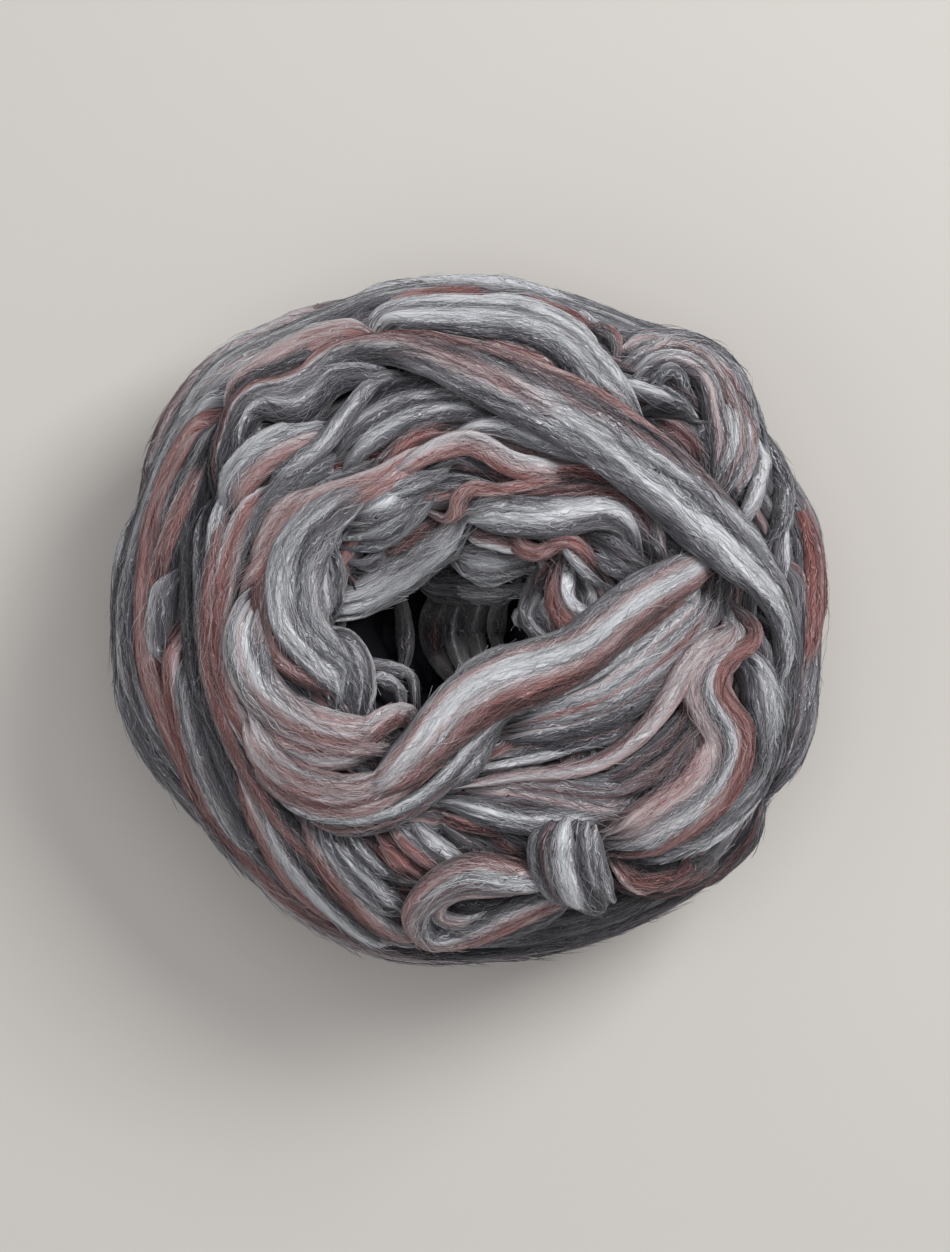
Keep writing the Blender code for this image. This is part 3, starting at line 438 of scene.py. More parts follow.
        (46, 87), (55, 88.3), (63, 91), (71, 90.3), (78, 86.7), (83, 80.5), (86.6, 72.5),
        (89, 64), (89, 55), (86.6, 46), (83.5, 39))),
    Strand("hoop_white", (2, 3, 3.4, 2.4), 3.6, "LWL", (
        (78.5, 88), (83.5, 80), (86, 71), (87, 62), (86.4, 53), (84, 44))),
    Strand("hoop_inner", (4, 6, 6, 6, 5), 2, "LWGLS|GLGPS|PMGPG", (
        (48, 83), (55.5, 84.3), (62.5, 86.3), (69.5, 86), (75.5, 83), (79.3, 77.5), (81, 70),
        (82.3, 61), (82.4, 52.5), (80.5, 44))),
    Strand("hoop_lock", (3, 5, 4, 3), 1.4, "LGSG", (
        (53, 80), (60, 82), (66.5, 83.5), (71.5, 81.3), (75.5, 77.5), (78.5, 72))),
    Strand("hoop_dark", (3, 6, 6, 4), 0, "KCS", (
        (76.5, 73), (77.7, 65), (78.6, 57), (80.5, 49), (83, 42))),
    Strand("white_spike", (3, 5, 5, 4.4, 3.2, 1.6), (6, 6.4, 6.6, 6.6, 8, 11.5), "LWWG", (
        (40, 86), (47, 81.5), (53, 78.6), (59, 76.2), (65.5, 74.2), (72, 72.6), (79, 71))),
    Strand("spike_slate", (4, 5, 5, 3.4), (3.6, 4, 5, 8), "SCK", (
        (55, 73.5), (61.5, 71.6), (69, 70.6), (78, 70))),
    Strand("patch_rose", (5, 9, 9, 6), -0.6, "SMBMS", (
        (56, 70), (63, 66.5), (70, 61), (75.5, 54), (80, 46))),
    Strand("rim_link", (3, 5, 4), 1, "RTG", (
        (36, 101), (43, 97.3), (49, 93), (53, 87))),
    # Lower left and bottom, running down and to the right; left is inward
    Strand("low_terracotta", (4, 6, 7, 7, 6, 5), 2, "GPTTB", (
        (-80, -40), (-76.5, -51), (-72.5, -61.5), (-67.5, -71.5), (-62, -80.5), (-55.5, -88.7),
        (-48, -96.5), (-39, -103.5))),
    Strand("low_light", (3, 6, 6, 6, 6, 5), 2.4, "GWWLG", (
        (-72.5, -53), (-68.6, -63), (-64, -72.5), (-58.3, -81.5), (-51.5, -89.5), (-44, -96.7),
        (-36, -103), (-27, -107.6), (-15, -109.8), (-3, -109.8))),
    Strand("low_slate", (4, 6, 7, 6, 5), 1.2, "CSCKK", (
        (-67, -55), (-62, -66), (-56.8, -75), (-50.6, -83.5), (-43.5, -91.3), (-36, -98.3),
        (-28, -104), (-18, -107.5))),
    Strand("low_rose", (4, 6, 6, 5, 5), 2.4, "LRTTB", (
        (-60, -61), (-55, -71), (-49.8, -79.5), (-43.8, -87.4), (-37, -94.7), (-29.5, -101),
        (-21, -105.6), (-10, -108))),
    Strand("low_grey_1", (4, 8, 9, 8, 6), 1.2, "GLSGLG", (
        (-54, -63), (-47, -73.5), (-40, -82), (-32.5, -90), (-25, -97), (-17, -102.5))),
    Strand("low_grey_2", (4, 8, 8, 6), 0.6, "GSLGS", (
        (-47, -66), (-40.5, -74.5), (-33.5, -82), (-26, -88), (-19, -92))),
    Strand("beneath_1", (5, 8, 8, 6), 0, "BTRB", (
        (-38, -65), (-31, -72), (-24, -78), (-16, -85), (-9, -91))),
    Strand("beneath_2", (3, 6, 6, 5), 1, "GTRB", (
        (-32, -66), (-24, -71.6), (-16.5, -77), (-8, -83), (0, -89))),
    Strand("beneath_3", (3, 7, 7, 5), 1.6, "LWLGS", (
        (-25, -65), (-17, -71), (-9.5, -76.3), (-2, -82), (6, -89))),
    Strand("beneath_4", (3, 7, 7, 5), 1, "SGSC", (
        (-17, -64), (-8.5, -69.3), (0, -74), (8, -79.5), (16, -87))),
    Strand("beneath_5", (4, 8, 8, 6), 0.4, "GSBS", (
        (-6, -66), (4, -70.6), (13, -74.5), (22, -79), (30, -86))),
    Strand("rim_southwest", (4, 6, 6, 6, 6), -1, "GSMSG", (
        (-98, -54), (-87.5, -66.5), (-77, -78), (-66, -88), (-54.5, -97.3), (-42.5, -104.7),
        (-29, -109.3), (-14, -111), (1, -111), (15, -109.5))),
    Strand("rim_south", (4, 4.4, 4.4, 4.4, 4), -1, "BSGSK", (
        (-10, -110.6), (4, -111), (18, -109.8), (34, -106.5), (49, -101.4), (63, -94.6),
        (76, -86.5), (86, -77.6), (93, -67))),
    # A near-black strand in the gap between the knot, the loop and the south rim: painted shade
    Strand("south_dark", (6, 10, 10, 7), -4, "KKKK", (
        (-8, -104), (10, -104), (28, -101), (44, -96.5), (58, -90.5), (70, -83))),
    Strand("southeast_dark", (6, 10, 12, 11, 9), -0.5, "KBKBK", (
        (98.5, -55), (94, -67), (87, -75.7), (78, -82), (68, -86), (57.5, -86.5), (46, -84),
        (36, -82))),
    Strand("southeast_rose", (2, 4, 5, 4, 3), 5, "RTB", (
        (82, -78), (73, -83.5), (64, -86.6), (56, -86.4), (50, -82), (46, -75))),
    Strand("southeast_wisp", (1.5, 2.5, 2.5, 2), 6, "RPT", (
        (64, -91), (56, -89.5), (50, -85), (46, -79))),
    Strand("loop_lining", (3, 6, 6.5, 6, 5, 4, 3.4, 3), 7, "MPMSM|MPMSM|LMPML|LWWLW", (
        (26, -88.6), (16, -89.2), (5, -88.4), (-4, -89.3), (-10.3, -93.8), (-9.8, -98.6),
        (-3, -100), (6, -98), (14, -95.4))),
    Strand("loop_shadow", (8, 10, 10, 8), 1.6, "KKC", (
        (-22, -95), (-12, -95.5), (-2, -95), (8, -93.5), (20, -91), (32, -88))),
    Strand("loop_below", (4, 7, 7, 6, 4), 3, "GSGSC", (
        (-14, -108), (-2, -106.5), (12, -102.8), (24, -98.2), (33, -94.6), (42, -92))),
    # Dim locks at the bottom of the hollow; their near-black bands are painted shade
    Strand("pit_left", (3, 5, 6, 4), 3.4, "KSGCSK", (
        (-25, 14), (-23, 6), (-21.8, -2), (-21.6, -11), (-23, -20))),
    Strand("pit_lock", (4, 7, 8, 8, 7, 4), (1, 3, 4.2, 4.2, 3, 1), "KCKKSLCKK", (
        (3, 17), (-1, 11), (-4, 4), (-5, -3), (-4, -10), (-1, -17), (3, -22))),
    Strand("pit_curl", (4, 6, 7, 7, 6, 4), (1, 2.6, 3.4, 3.4, 2.4, 1), "KCLCKKCK", (
        (9, 17), (5.6, 11), (3, 4), (2, -3), (2.6, -10), (5, -17), (8, -21))),
    Strand("pit_right", (3, 5, 6, 5, 3), 2, "KCKSK", (
        (14, 15), (11.5, 9), (9.4, 3), (8.6, -3), (9.2, -9), (11, -14))),
    Strand("pit_side", (4, 7, 8, 8, 7, 4), (1, 2, 2.6, 2.6, 2, 1), "KCKKKK|KKBKKK|KBBKKK", (
        (-4, 17), (-8.5, 11), (-11.5, 4), (-12.5, -3), (-11.5, -10), (-8, -17), (-4, -22))),
    Strand("pit_back", (5, 9, 9, 6), 2, "KCK", (
        (-22, 9), (-12, 10.5), (0, 10), (9, 8))),
)

# Turns on the sides: level of the middle, rise and fall, phase, width, lift
Turn = namedtuple("Turn", "level sway phase width lift bands")
TURNS = (
    Turn(55.0, 7.0, 40.0, 16.0, 0.0, "GLSGMR"),
    Turn(47.0, 12.0, 165.0, 16.0, 0.8,
         "|".join(["RTGLPORP"] * 6 + ["KSPMSGSM"] * 2 + ["RTGLPORP"])),
    Turn(41.0, 13.0, 290.0, 15.0, 2.2, "SGLGPR"),
    Turn(32.0, 10.0, 75.0, 16.0, 0.4, "CSGLGT"),
    Turn(23.0, 10.0, 215.0, 16.0, 1.4, "LWGSRT"),
    Turn(15.0, 6.0, 330.0, 15.0, 0.4, "GSCGMB"),
    Turn(61.0, 3.0, 120.0, 17.0, -3.0, "SGCMSG"),
    Turn(48.0, 3.0, 20.0, 17.0, -2.6, "GSMSCG"),
    Turn(34.0, 3.0, 250.0, 18.0, -2.6, "SCGSMG"),
    Turn(20.0, 3.0, 150.0, 17.0, -2.6, "GSCSGM"),
)

# Strands that pass under the ball: bearing, distance from the axis, width, lift
Under = namedtuple("Under", "toward offset width lift bands")
UNDERS = (
    Under(10.0, -78.0, 24.0, -1.2, "GSMGSC"),
    Under(17.0, 78.0, 24.0, -1.2, "SGLGMB"),
    Under(12.0, -55.0, 29.0, 0.0, "GSLGRTB"),
    Under(19.0, -28.0, 30.0, 0.2, "RPGLSGC"),
    Under(15.0, 0.0, 30.0, 0.0, "SGLWGMR"),
    Under(20.0, 28.0, 30.0, 0.2, "TRPGSCG"),
    Under(14.0, 55.0, 29.0, 0.0, "GLGSMBR"),
    Under(80.0, -62.0, 20.0, 0.4, "GSLGM"),
    Under(77.0, -39.0, 21.0, 1.0, "LWGSR"),
    Under(84.0, -14.0, 22.0, 0.8, "SGMSG"),
    Under(79.0, 12.0, 21.0, 1.2, "RTGLG"),
    Under(73.0, 38.0, 21.0, 0.9, "SGLPG"),
    Under(82.0, 62.0, 20.0, 0.4, "GSCSM"),
)
# How far they reach, as a share of the outline's smallest radius
UNDER_SHARE = 0.88

# Deeper turns that show as dim strands in the gaps: share of the way out from
# the hollow, sway, phase and bands
Deep = namedtuple("Deep", "share sway phase bands")
DEEPS = tuple(Deep(0.30 + 0.058 * k, 0.03, 47.0 * k,
                   ("SGC", "BSR", "GSL", "CMS")[k % 4]) for k in range(12))
DEEPS += (Deep(0.958, 0.005, 20.0, "SGC"), Deep(0.976, 0.004, 140.0, "MSG"),
          Deep(0.991, 0.003, 260.0, "GSC"))
DEEP_LIFT, DEEP_WIDTH = -5.0, 8.5

# How far from its ends a strand dives, and how deep
DIVE_MM, DIVE_DEPTH = 17.0, 7.5
# Distance between a tube's rings: strands, the knot's locks, the loose end
STEP_MM, LOCK_STEP_MM, END_STEP_MM = 2.6, 1.4, 1.6
# What the tables' widths are multiplied by, how thick a strand of a width is, and
# half the thickness of the turns
WIDTH_GAIN = 1.08
THICKNESS_MM, THICKNESS_SHARE = 3.2, 0.34
LOCK_HALF_SHARE = 0.36
TURN_HALF, UNDER_HALF, DEEP_HALF = 4.6, 4.8, 3.4
# Rings round the ball: side turns, those behind them, deeper turns, the inside
TURN_RINGS, HIDDEN_RINGS, DEEP_RINGS, CORE_RINGS = 170, 110, 120, 90
UNDER_RINGS = 46

# The loose end: stations of the loop with width and lift, then of the knot
Station = namedtuple("Station", "x y width thickness lift")
LOOP = (
    Station(26.0, -86.0, 8.0, 7.0, 8.5),
    Station(20.0, -86.0, 11.0, 8.5, 9.0),
    Station(10.5, -85.0, 14.5, 9.0, 8.5),
    Station(1.0, -84.0, 13.5, 9.0, 8.0),
    Station(-8.0, -87.0, 11.5, 9.0, 7.5),
    Station(-15.0, -92.5, 10.0, 8.5, 7.0),
    Station(-18.0, -99.0, 9.5, 8.5, 6.5),
    Station(-14.5, -104.5, 9.5, 8.5, 6.5),
    Station(-6.0, -105.0, 10.0, 8.5, 7.0),
    Station(4.0, -102.5, 10.0, 8.5, 7.0),
    Station(14.0, -98.0, 10.0, 8.5, 7.0),
    Station(23.0, -94.5, 9.0, 7.5, 6.5),
    Station(30.0, -92.5, 7.0, 6.5, 5.5),
)
KNOT = (
    Station(27.0, -66.5, 12.0, 8.0, 3.0),
    Station(29.0, -71.0, 18.0, 12.0, 7.5),
    Station(32.0, -77.5, 21.0, 14.0, 11.0),
    Station(35.0, -84.0, 21.5, 15.0, 13.0),
    Station(38.5, -90.0, 19.5, 14.0, 14.5),
    Station(41.0, -94.0, 15.0, 11.0, 15.0),
    Station(42.5, -96.0, 9.0, 8.0, 13.5),
)
LOOP_BANDS = "MMGSLWWWLLPR|LSMLMGLGLMRM|GLGSPMPMRMRT|GLPMRTTRTS|GLPRTTTRSS"
KNOT_BANDS = "SCSGS"
KNOT_CORE = 0.60
# The locks that wrap the knot: width, how far they stand over its middle, route
KnotLock = namedtuple("KnotLock", "width proud bands route")
KNOT_LIFTS = (1.5, 7.5, 11.0, 12.5, 13.5, 13.0, 10.0)
KNOT_LOCKS = (
    KnotLock(5.6, -0.4, "CSGS", ((26.5, -66), (22.3, -72), (21.9, -79), (24.2, -85.4),
                                 (28.4, -91), (33, -94.6))),
    KnotLock(6.2, 2.4, "SMPGMS", ((29.5, -65), (26.4, -72), (26, -79), (27.8, -86),
                                  (31.5, -92), (36.4, -95.6))),
    KnotLock(8.0, 4.4, "GLWWWLG", ((33, -64.5), (30.7, -71.5), (30.5, -79),
                                  (32.2, -86), (35.4, -92), (39.6, -96))),
    KnotLock(4.4, 3.6, "SGCS", ((36, -64.5), (34.6, -71.5), (34.7, -79),
                                (36.4, -86), (39.2, -92), (42.4, -95.6))),
    KnotLock(5.8, 3.4, "SGLGSS", ((39, -65.5), (37.8, -72), (38.4, -79),
                                  (40.4, -85.6), (43, -91.4), (45.4, -94.6))),
    KnotLock(5.6, 1.6, "SGLMS", ((41.5, -67.5), (41.3, -73.5), (42.3, -80),
                                 (44, -86), (46.2, -90.8), (48, -93.4))),
)

# The picture: object centre's place in the 950 x 1252 frame, at 3 px a mm
FRAME_PX = (950.0, 1252.0)
CENTRE_PX = (470.0, 621.0)
PX_PER_MM = 3.0
SENSOR_MM = 36.0

# Soft boxes over the floor: watts, and metres for place and size
Light = namedtuple("Light", "name place power size")
LIGHTS = (
    Light("key", (0.95, 0.75, 1.35), 22.0, 0.75),
    Light("fill", (-1.1, -0.5, 1.3), 4.5, 1.4),
    Light("top", (0.1, 0.2, 1.9), 7.0, 1.2),
)
LIT_POINT = (0, 0, 0.06)
SKY_COLOUR, SKY_STRENGTH = (0.93, 0.95, 1.0, 1.0), 0.32
FLOOR_HALF = 3.0

# Pieces of loose fibre: steps along a fibre, then density, length and radius as
# shares of the sizes set, stray in metres, wander and crimp in radians, tone
Fibres = namedtuple("Fibres", "name steps density length radius stray wander crimp tone seed")
FIBRES = (
    Fibres("ball_fibres_1", 7, 0.88, 1.0, 1.0, 0.0018, 0.09, 0.32, 0.03, 1),
    Fibres("ball_fibres_2", 7, 0.88, 1.0, 1.0, 0.0018, 0.09, 0.32, 0.03, 2),
    Fibres("ball_frizz_1", 5, 0.95, 0.62, 0.8, 0.0030, 0.24, 0.6, 0.08, 3),
    Fibres("ball_frizz_2", 5, 0.95, 0.62, 0.8, 0.0030, 0.24, 0.6, 0.08, 4),
    Fibres("ball_flyaways", 7, 0.04, 1.3, 0.55, 0.009, 0.6, 0.3, 0.05, 41),
)
# The pieces that they lie on
STRAND_PIECES = ("ball_deep_turns", "ball_strands_upper", "ball_strands_lower",
                 "ball_side_turns", "end_loop_wool", "end_knot_wool")
# How a fibre finds the strands, in metres.  Away from the ball is level beyond
# the far side reach, and turns from down to up between the two heights.
ABOVE = 0.030
SIDE_REACH = (0.085, 0.112)
TURN_HEIGHTS = (0.030, 0.076)
# Drops to the strand below: under this it is buried, then it lies on it, then it
# has gone astray, and it never falls further than the last
BURIED, LYING, ASTRAY, DEEPEST = -0.0016, 0.003, 0.0040, 0.0065
# How much of the run and of the colour of that strand it takes up at each step
FOLLOW, TONE_FOLLOW = 2.5, 0.45
# Most height of a fibre that hugs its strand, and the least above the floor
FUZZ, FIBRE_FLOOR = 0.00032, 0.0006


class WoolSizes(bpy.types.PropertyGroup):
    ridge_depth: bpy.props.FloatProperty(
        name="Ridge depth", description="How deep the grooves between locks are",
        default=0.00062, min=0.0, unit="LENGTH")
    fibre_radius: bpy.props.FloatProperty(
        name="Fibre radius", description="Half the width of one loose fibre",
        default=0.00013, min=0.00001, unit="LENGTH")
    fibre_length: bpy.props.FloatProperty(
        name="Fibre length", description="Mean length of one loose fibre",
        default=0.020, min=0.001, unit="LENGTH")
    fibre_density: bpy.props.FloatProperty(
        name="Fibre density", description="Fibres on a square metre of strand",
        default=28500.0, min=0.0)


class WoolColours(bpy.types.PropertyGroup):
    charcoal: bpy.props.FloatVectorProperty(
        name="Charcoal", description="Darkest grey wool", subtype="COLOR",
        size=3, min=0.0, max=1.0, default=(0.020, 0.020, 0.027))
    grey: bpy.props.FloatVectorProperty(
        name="Grey", description="Middle grey wool", subtype="COLOR",
        size=3, min=0.0, max=1.0, default=(0.150, 0.154, 0.173))
    white: bpy.props.FloatVectorProperty(
        name="White", description="Undyed wool", subtype="COLOR",
        size=3, min=0.0, max=1.0, default=(0.74, 0.755, 0.78))
    brown: bpy.props.FloatVectorProperty(
        name="Brown", description="Darkest rose wool", subtype="COLOR",
        size=3, min=0.0, max=1.0, default=(0.052, 0.020, 0.020))
    terracotta: bpy.props.FloatVectorProperty(
        name="Terracotta", description="Terracotta wool", subtype="COLOR",
        size=3, min=0.0, max=1.0, default=(0.275, 0.093, 0.083))
    pink: bpy.props.FloatVectorProperty(
        name="Pink", description="Palest rose wool", subtype="COLOR",
        size=3, min=0.0, max=1.0, default=(0.56, 0.41, 0.405))
    floor: bpy.props.FloatVectorProperty(
        name="Floor", description="Plain pale floor", subtype="COLOR",
        size=3, min=0.0, max=1.0, default=(0.62, 0.59, 0.55))


def sizes():
    return bpy.context.scene.wool_sizes


def colours():
    return bpy.context.scene.wool_colours


# ---------------------------------------------------------------- the shape

def periodic(values, degrees):
    """A smooth value between evenly spaced ones that close on themselves."""
    values = np.asarray(values, float)
    place = (np.asarray(degrees, float) % 360.0) / 360.0 * len(values)
    low = np.floor(place).astype(int)
    part = place - low
    before, here, after, beyond = (values[(low + k) % len(values)]
                                   for k in (-1, 0, 1, 2))
    return here + 0.5 * part * (
        after - before
        + part * (2 * before - 5 * here + 4 * after - beyond
                  + part * (3 * (here - after) + beyond - before)))


def bearing(x, y):
    return np.degrees(np.arctan2(y, x))


def eased(part):
    """A share from 0 to 1 that starts and ends level."""
    return part * part * (3 - 2 * part)


def unit(rows):
    return rows / np.maximum(np.linalg.norm(rows, axis=-1, keepdims=True), 1e-9)


def outer_radius(degrees):
    return periodic(OUTLINE, degrees) - SHELL_INSET


def from_hollow(degrees, part):
    """Plan points a part of the way out from the hollow's middle to the outline."""
    angle = np.radians(degrees)
    edge = outer_radius(degrees)[:, None] * np.stack(
        [np.cos(angle), np.sin(angle)], axis=1)
    centre = np.array([HOLLOW_X, HOLLOW_Y])
    return centre + part * (edge - centre)


def with_level(plan, level):
    return np.concatenate([plan, level[:, None]], axis=1)


def winding_height(x, y):
    """Height of the middle of the outer layer of roving over a point."""
    share = np.hypot(x, y) / outer_radius(bearing(x, y))
    share = np.clip(share, 0.0, 0.999)
    dome = WIDEST_Z + (CROWN_Z - WIDEST_Z) * (1 - share ** 2.6) ** (1 / 2.2)
    dome = dome - RIM_DROP * np.clip(1 - share / RIM_SHARE, 0, 1) ** 1.5
    dx, dy = x - HOLLOW_X, y - HOLLOW_Y
    toward = bearing(dx, dy)
    edge = periodic(HOLLOW_EDGE, toward)
    floor_edge = 0.5 * edge
    crest = edge + periodic(HOLLOW_SLOPE, toward)
    climb = np.clip((np.hypot(dx, dy) - floor_edge) / (crest - floor_edge), 0, 1)
    climb = 1 - (1 - climb) ** 2.5
    return HOLLOW_FLOOR_Z + (dome - HOLLOW_FLOOR_Z) * climb


def drawn_in(x, y, lift):
    """Plan point and level of a route station, allowing for the eye height."""
    z = winding_height(x, y) + lift
    for _ in range(2):
        scale = 1 - (z - WIDEST_Z) / EYE_MM
        z = winding_height(x * scale, y * scale) + lift
    return x * scale, y * scale, z


def up_normal(x, y):
    """Direction out of the winding, kept from leaning over on steep places."""
    step = 1.5
    slope_x = (winding_height(x + step, y) - winding_height(x - step, y)) / (2 * step)
    slope_y = (winding_height(x, y + step) - winding_height(x, y - step)) / (2 * step)
    steep = np.maximum(1.0, np.hypot(slope_x, slope_y) / 2.4)
    return unit(np.stack([-slope_x / steep, -slope_y / steep, np.ones_like(x)], axis=1))


def smooth_route(stations, step):
    """Points about a step apart on a smooth line through the stations."""
    stations = np.asarray(stations, float)
    ends = np.concatenate([[2 * stations[0] - stations[1]], stations,
                           [2 * stations[-1] - stations[-2]]])
    pieces = []
    for k in range(1, len(ends) - 2):
        a, b, c, d = ends[k - 1:k + 3]
        count = max(3, int(math.dist(b[:2], c[:2]) / step) + 1)
        t = np.linspace(0, 1, count, endpoint=False)[:, None]
        pieces.append(b + 0.5 * t * (c - a + t * (2 * a - 5 * b + 4 * c - d
                                                  + t * (3 * (b - c) + d - a))))
    pieces.append(stations[-1:])
    return np.concatenate(pieces)


def heading(points, closed=False):
    """Direction of a line at each of its points."""
    if closed:
        return unit(np.roll(points, -1, axis=0) - np.roll(points, 1, axis=0))
    return unit(np.gradient(points, axis=0))


def section_frames(points, normals, closed=False):
    """Across and outward directions along a line."""
    along = heading(points, closed)
    across = unit(np.cross(along, normals))
    return across, np.cross(across, along)


def ease_of(run, reach):
    """0 at both ends of a line and 1 from a reach inside them."""
    return eased(np.clip(np.minimum(run, run[-1] - run) / reach, 0, 1))


def evened(rows, reach):
    """Rows averaged with the ones up to a reach of places before and after."""
    weights = np.hanning(2 * reach + 3)[1:-1]
    padded = np.concatenate([rows[:1]] * reach + [rows] + [rows[-1:]] * reach)
    total = sum(weight * padded[k:k + len(rows)] for k, weight in enumerate(weights))
    return total / weights.sum()


def run_of(points):
    """Length of a line up to each of its points."""
    steps = np.linalg.norm(np.diff(points, axis=0), axis=1)
    return np.concatenate([[0], np.cumsum(steps)])


class Grain:
    """Smooth repeatable waviness over length and breadth, from -1 to 1."""

    CELLS = 64

    def __init__(self, seed):
        self.cells = np.random.RandomState(seed).uniform(-1, 1, (self.CELLS,) * 2)

    def __call__(self, along, around):
        low_a, low_b = np.floor(along).astype(int), np.floor(around).astype(int)
        part_a, part_b = along - low_a, around - low_b
        part_a, part_b = eased(part_a), eased(part_b)
        corner = {(i, j): self.cells[(low_a + i) % self.CELLS, (low_b + j) % self.CELLS]
                  for i in (0, 1) for j in (0, 1)}
        near = corner[0, 0] + part_a * (corner[1, 0] - corner[0, 0])
        far = corner[0, 1] + part_a * (corner[1, 1] - corner[0, 1])
        return near + part_b * (far - near)


class Wool:
    """Collects tubes into one mesh, with the coordinates its wool needs."""

    UV_ROW = 0.12              # metres of texture from one tube to the next
    GIRTH = 4.2                # way round a tube, in half widths
    FRONT_ARC = 2.4            # way over its outward side, in half widths
    FACE_MM, FRONT_FACES = 0.95, (9, 30)

    def __init__(self, seed):
        self.seed = seed
        self.count = 0
        self.points, self.faces, self.face_uv = [], [], []
        self.tone, self.rose, self.show, self.flow = [], [], [], []
        self.vertices = 0

    def tube(self, points, across, outward, halves, bands, closed=False,
             show=1.0, whole=False, dive=(0.0, 0.0), clear=FLOOR_CLEAR):
        """A lobed flat tube.  bands run across its outward side, show is its share
        of loose fibres, whole gives its back as many faces as its front, dive is
        the depth and reach of its ends, and clear keeps it off the floor."""
        self.count += 1
        grain = Grain(self.seed * 1000 + self.count)
        half_width, half_height = halves
        widest = float(np.max(half_width))
        cos, sin = self.section(widest, whole)
        run = run_of(points)
        breadth = widest * (1 - cos) * np.where(sin < 0, -1.0, 1.0)
        u, v = run[:, None] + 0 * cos[None, :], breadth[None, :] + 0 * run[:, None]
        if closed:
            u = np.abs(u - 0.5 * (run[-1] + run[1]))
        coarse, fine, lump = self.relief(grain, u, v)
        swell = sizes().ridge_depth / MM * (0.75 * coarse + 0.40 * fine)
        if not closed:
            swell = swell * (0.3 + 0.7 * ease_of(run, 6.0)[:, None])
        place = (half_width[:, None] * cos)[..., None] * across[:, None, :] \
            + (half_height[:, None] * sin)[..., None] * outward[:, None, :]
        out = unit((cos / widest)[None, :, None] * across[:, None, :]
                   + (sin / np.maximum(half_height, 0.5)[:, None])[..., None]
                   * outward[:, None, :])
        ring = points[:, None, :] + place * (1 + 0.06 * lump)[..., None] \
            + out * swell[..., None]
        if dive[1]:
            sunk = self.sinking(grain, u, v, run, outward, dive)
            ring = ring - outward[:, None, :] * sunk[..., None]
        ring[..., 2] = np.maximum(ring[..., 2], clear)

        # Painted shade in the creases and on the strand's flanks; its ends fade to mid grey
        tone, rose = self.shades(bands, cos, grain, u, v, run)
        painted_crease_shade = np.clip(0.5 + 0.5 * (0.7 * coarse + 0.5 * fine), 0, 1)
        flat = np.clip(0.25 + outward[:, 2:], 0, 1)
        painted_flank_shade = 1 - 0.55 * flat * np.clip(1 - sin / 0.52, 0, 1)
        tone = np.clip(tone * (0.78 + 0.30 * painted_crease_shade) * painted_flank_shade + 0.06 * lump, 0, 1)
        show = show * np.clip(0.4 + 1.6 * sin, 0, 1)[None, :]
        if dive[1]:
            fade = 0.75 * (1 - ease_of(run, 1.2 * dive[1])[:, None])
            tone, rose = tone + (0.40 - tone) * fade, rose * (1 - fade)
            show = show * ease_of(run, 0.7 * dive[1])[:, None]
        self.flow.append(np.repeat(heading(points, closed), len(cos), axis=0))
        self.add(ring, tone, rose, show, run, widest, closed)

    def section(self, widest, whole):
        """Cosines and sines of the points round a tube's cross section."""
        front = int(np.clip(round(self.FRONT_ARC * widest / self.FACE_MM),
                            *self.FRONT_FACES))
        back = front if whole else max(4, front // 3)
        angles = np.concatenate([np.linspace(0, math.pi, front, endpoint=False),
                                 np.linspace(math.pi, 2 * math.pi, back,
                                             endpoint=False)])
        return np.cos(angles), np.sin(angles)

    # Each layer of grain below divides u and v by its own length and breadth in
    # millimetres, and has its own start, so that no two layers repeat each other

    @staticmethod
    def relief(grain, u, v):
        """Coarse and fine locks along a tube, and its slow lumps, from -1 to 1."""
        sway = 1.8 * grain(u / 41 + 7, v / 9 + 3)
        coarse = 1 - np.abs(grain(u / 60 + 11, (v + sway) / 2.9 + 5)) * 2
        fine = 1 - np.abs(grain(u / 33 + 23, (v + sway) / 1.5 + 9)) * 2
        return coarse, fine, grain(u / 26 + 31, v / 12 + 17)

    @staticmethod
    def sinking(grain, u, v, run, outward, dive):
        """How deep the frayed ends of a strand lie under its own line."""
        depth, reach = dive
        fray = 0.30 * reach * (1 + grain(0 * u + 61, v / 2.4 + 13))
        sunk = 1 - np.clip((np.minimum(u, run[-1] - u) - fray) / (0.7 * reach), 0, 1)
        return depth * (1.9 - 0.9 * outward[:, 2:]) * sunk ** 1.6

    def shades(self, bands, cos, grain, u, v, run):
        """Tone and share of rose at each point of a tube.  Sections of bands that
        are parted by | follow each other along it."""
        wander = 0.11 * grain(u / 55 + 41, v / 30 + 2) \
            + 0.045 * grain(u / 12 + 43, v / 2 + 4)
        across = np.clip((1 - cos)[None, :] / 2 + wander, 0, 0.9999)
        sections = []
        for letters in bands.split("|"):
            table = np.array([BANDS[letter] for letter in letters])
            place = across * len(table) - 0.5
            low = np.clip(np.floor(place).astype(int), 0, len(table) - 1)
            high = np.clip(low + 1, 0, len(table) - 1)
            part = eased(np.clip((place - low - 0.5) * 1.8 + 0.5, 0, 1))
            sections.append(table[low] + (table[high] - table[low]) * part[..., None])
        place = run / run[-1] * (len(sections) - 1)
        low = np.clip(np.floor(place).astype(int), 0, max(len(sections) - 2, 0))
        high = np.minimum(low + 1, len(sections) - 1)
        rows = np.arange(len(run))
        sections = np.stack(sections)
        part = (place - low)[:, None, None]
        mixed = sections[low, rows] * (1 - part) + sections[high, rows] * part
        return mixed[..., 0] + 0.08 * grain(u / 90 + 51, v / 1.4 + 6), mixed[..., 1]

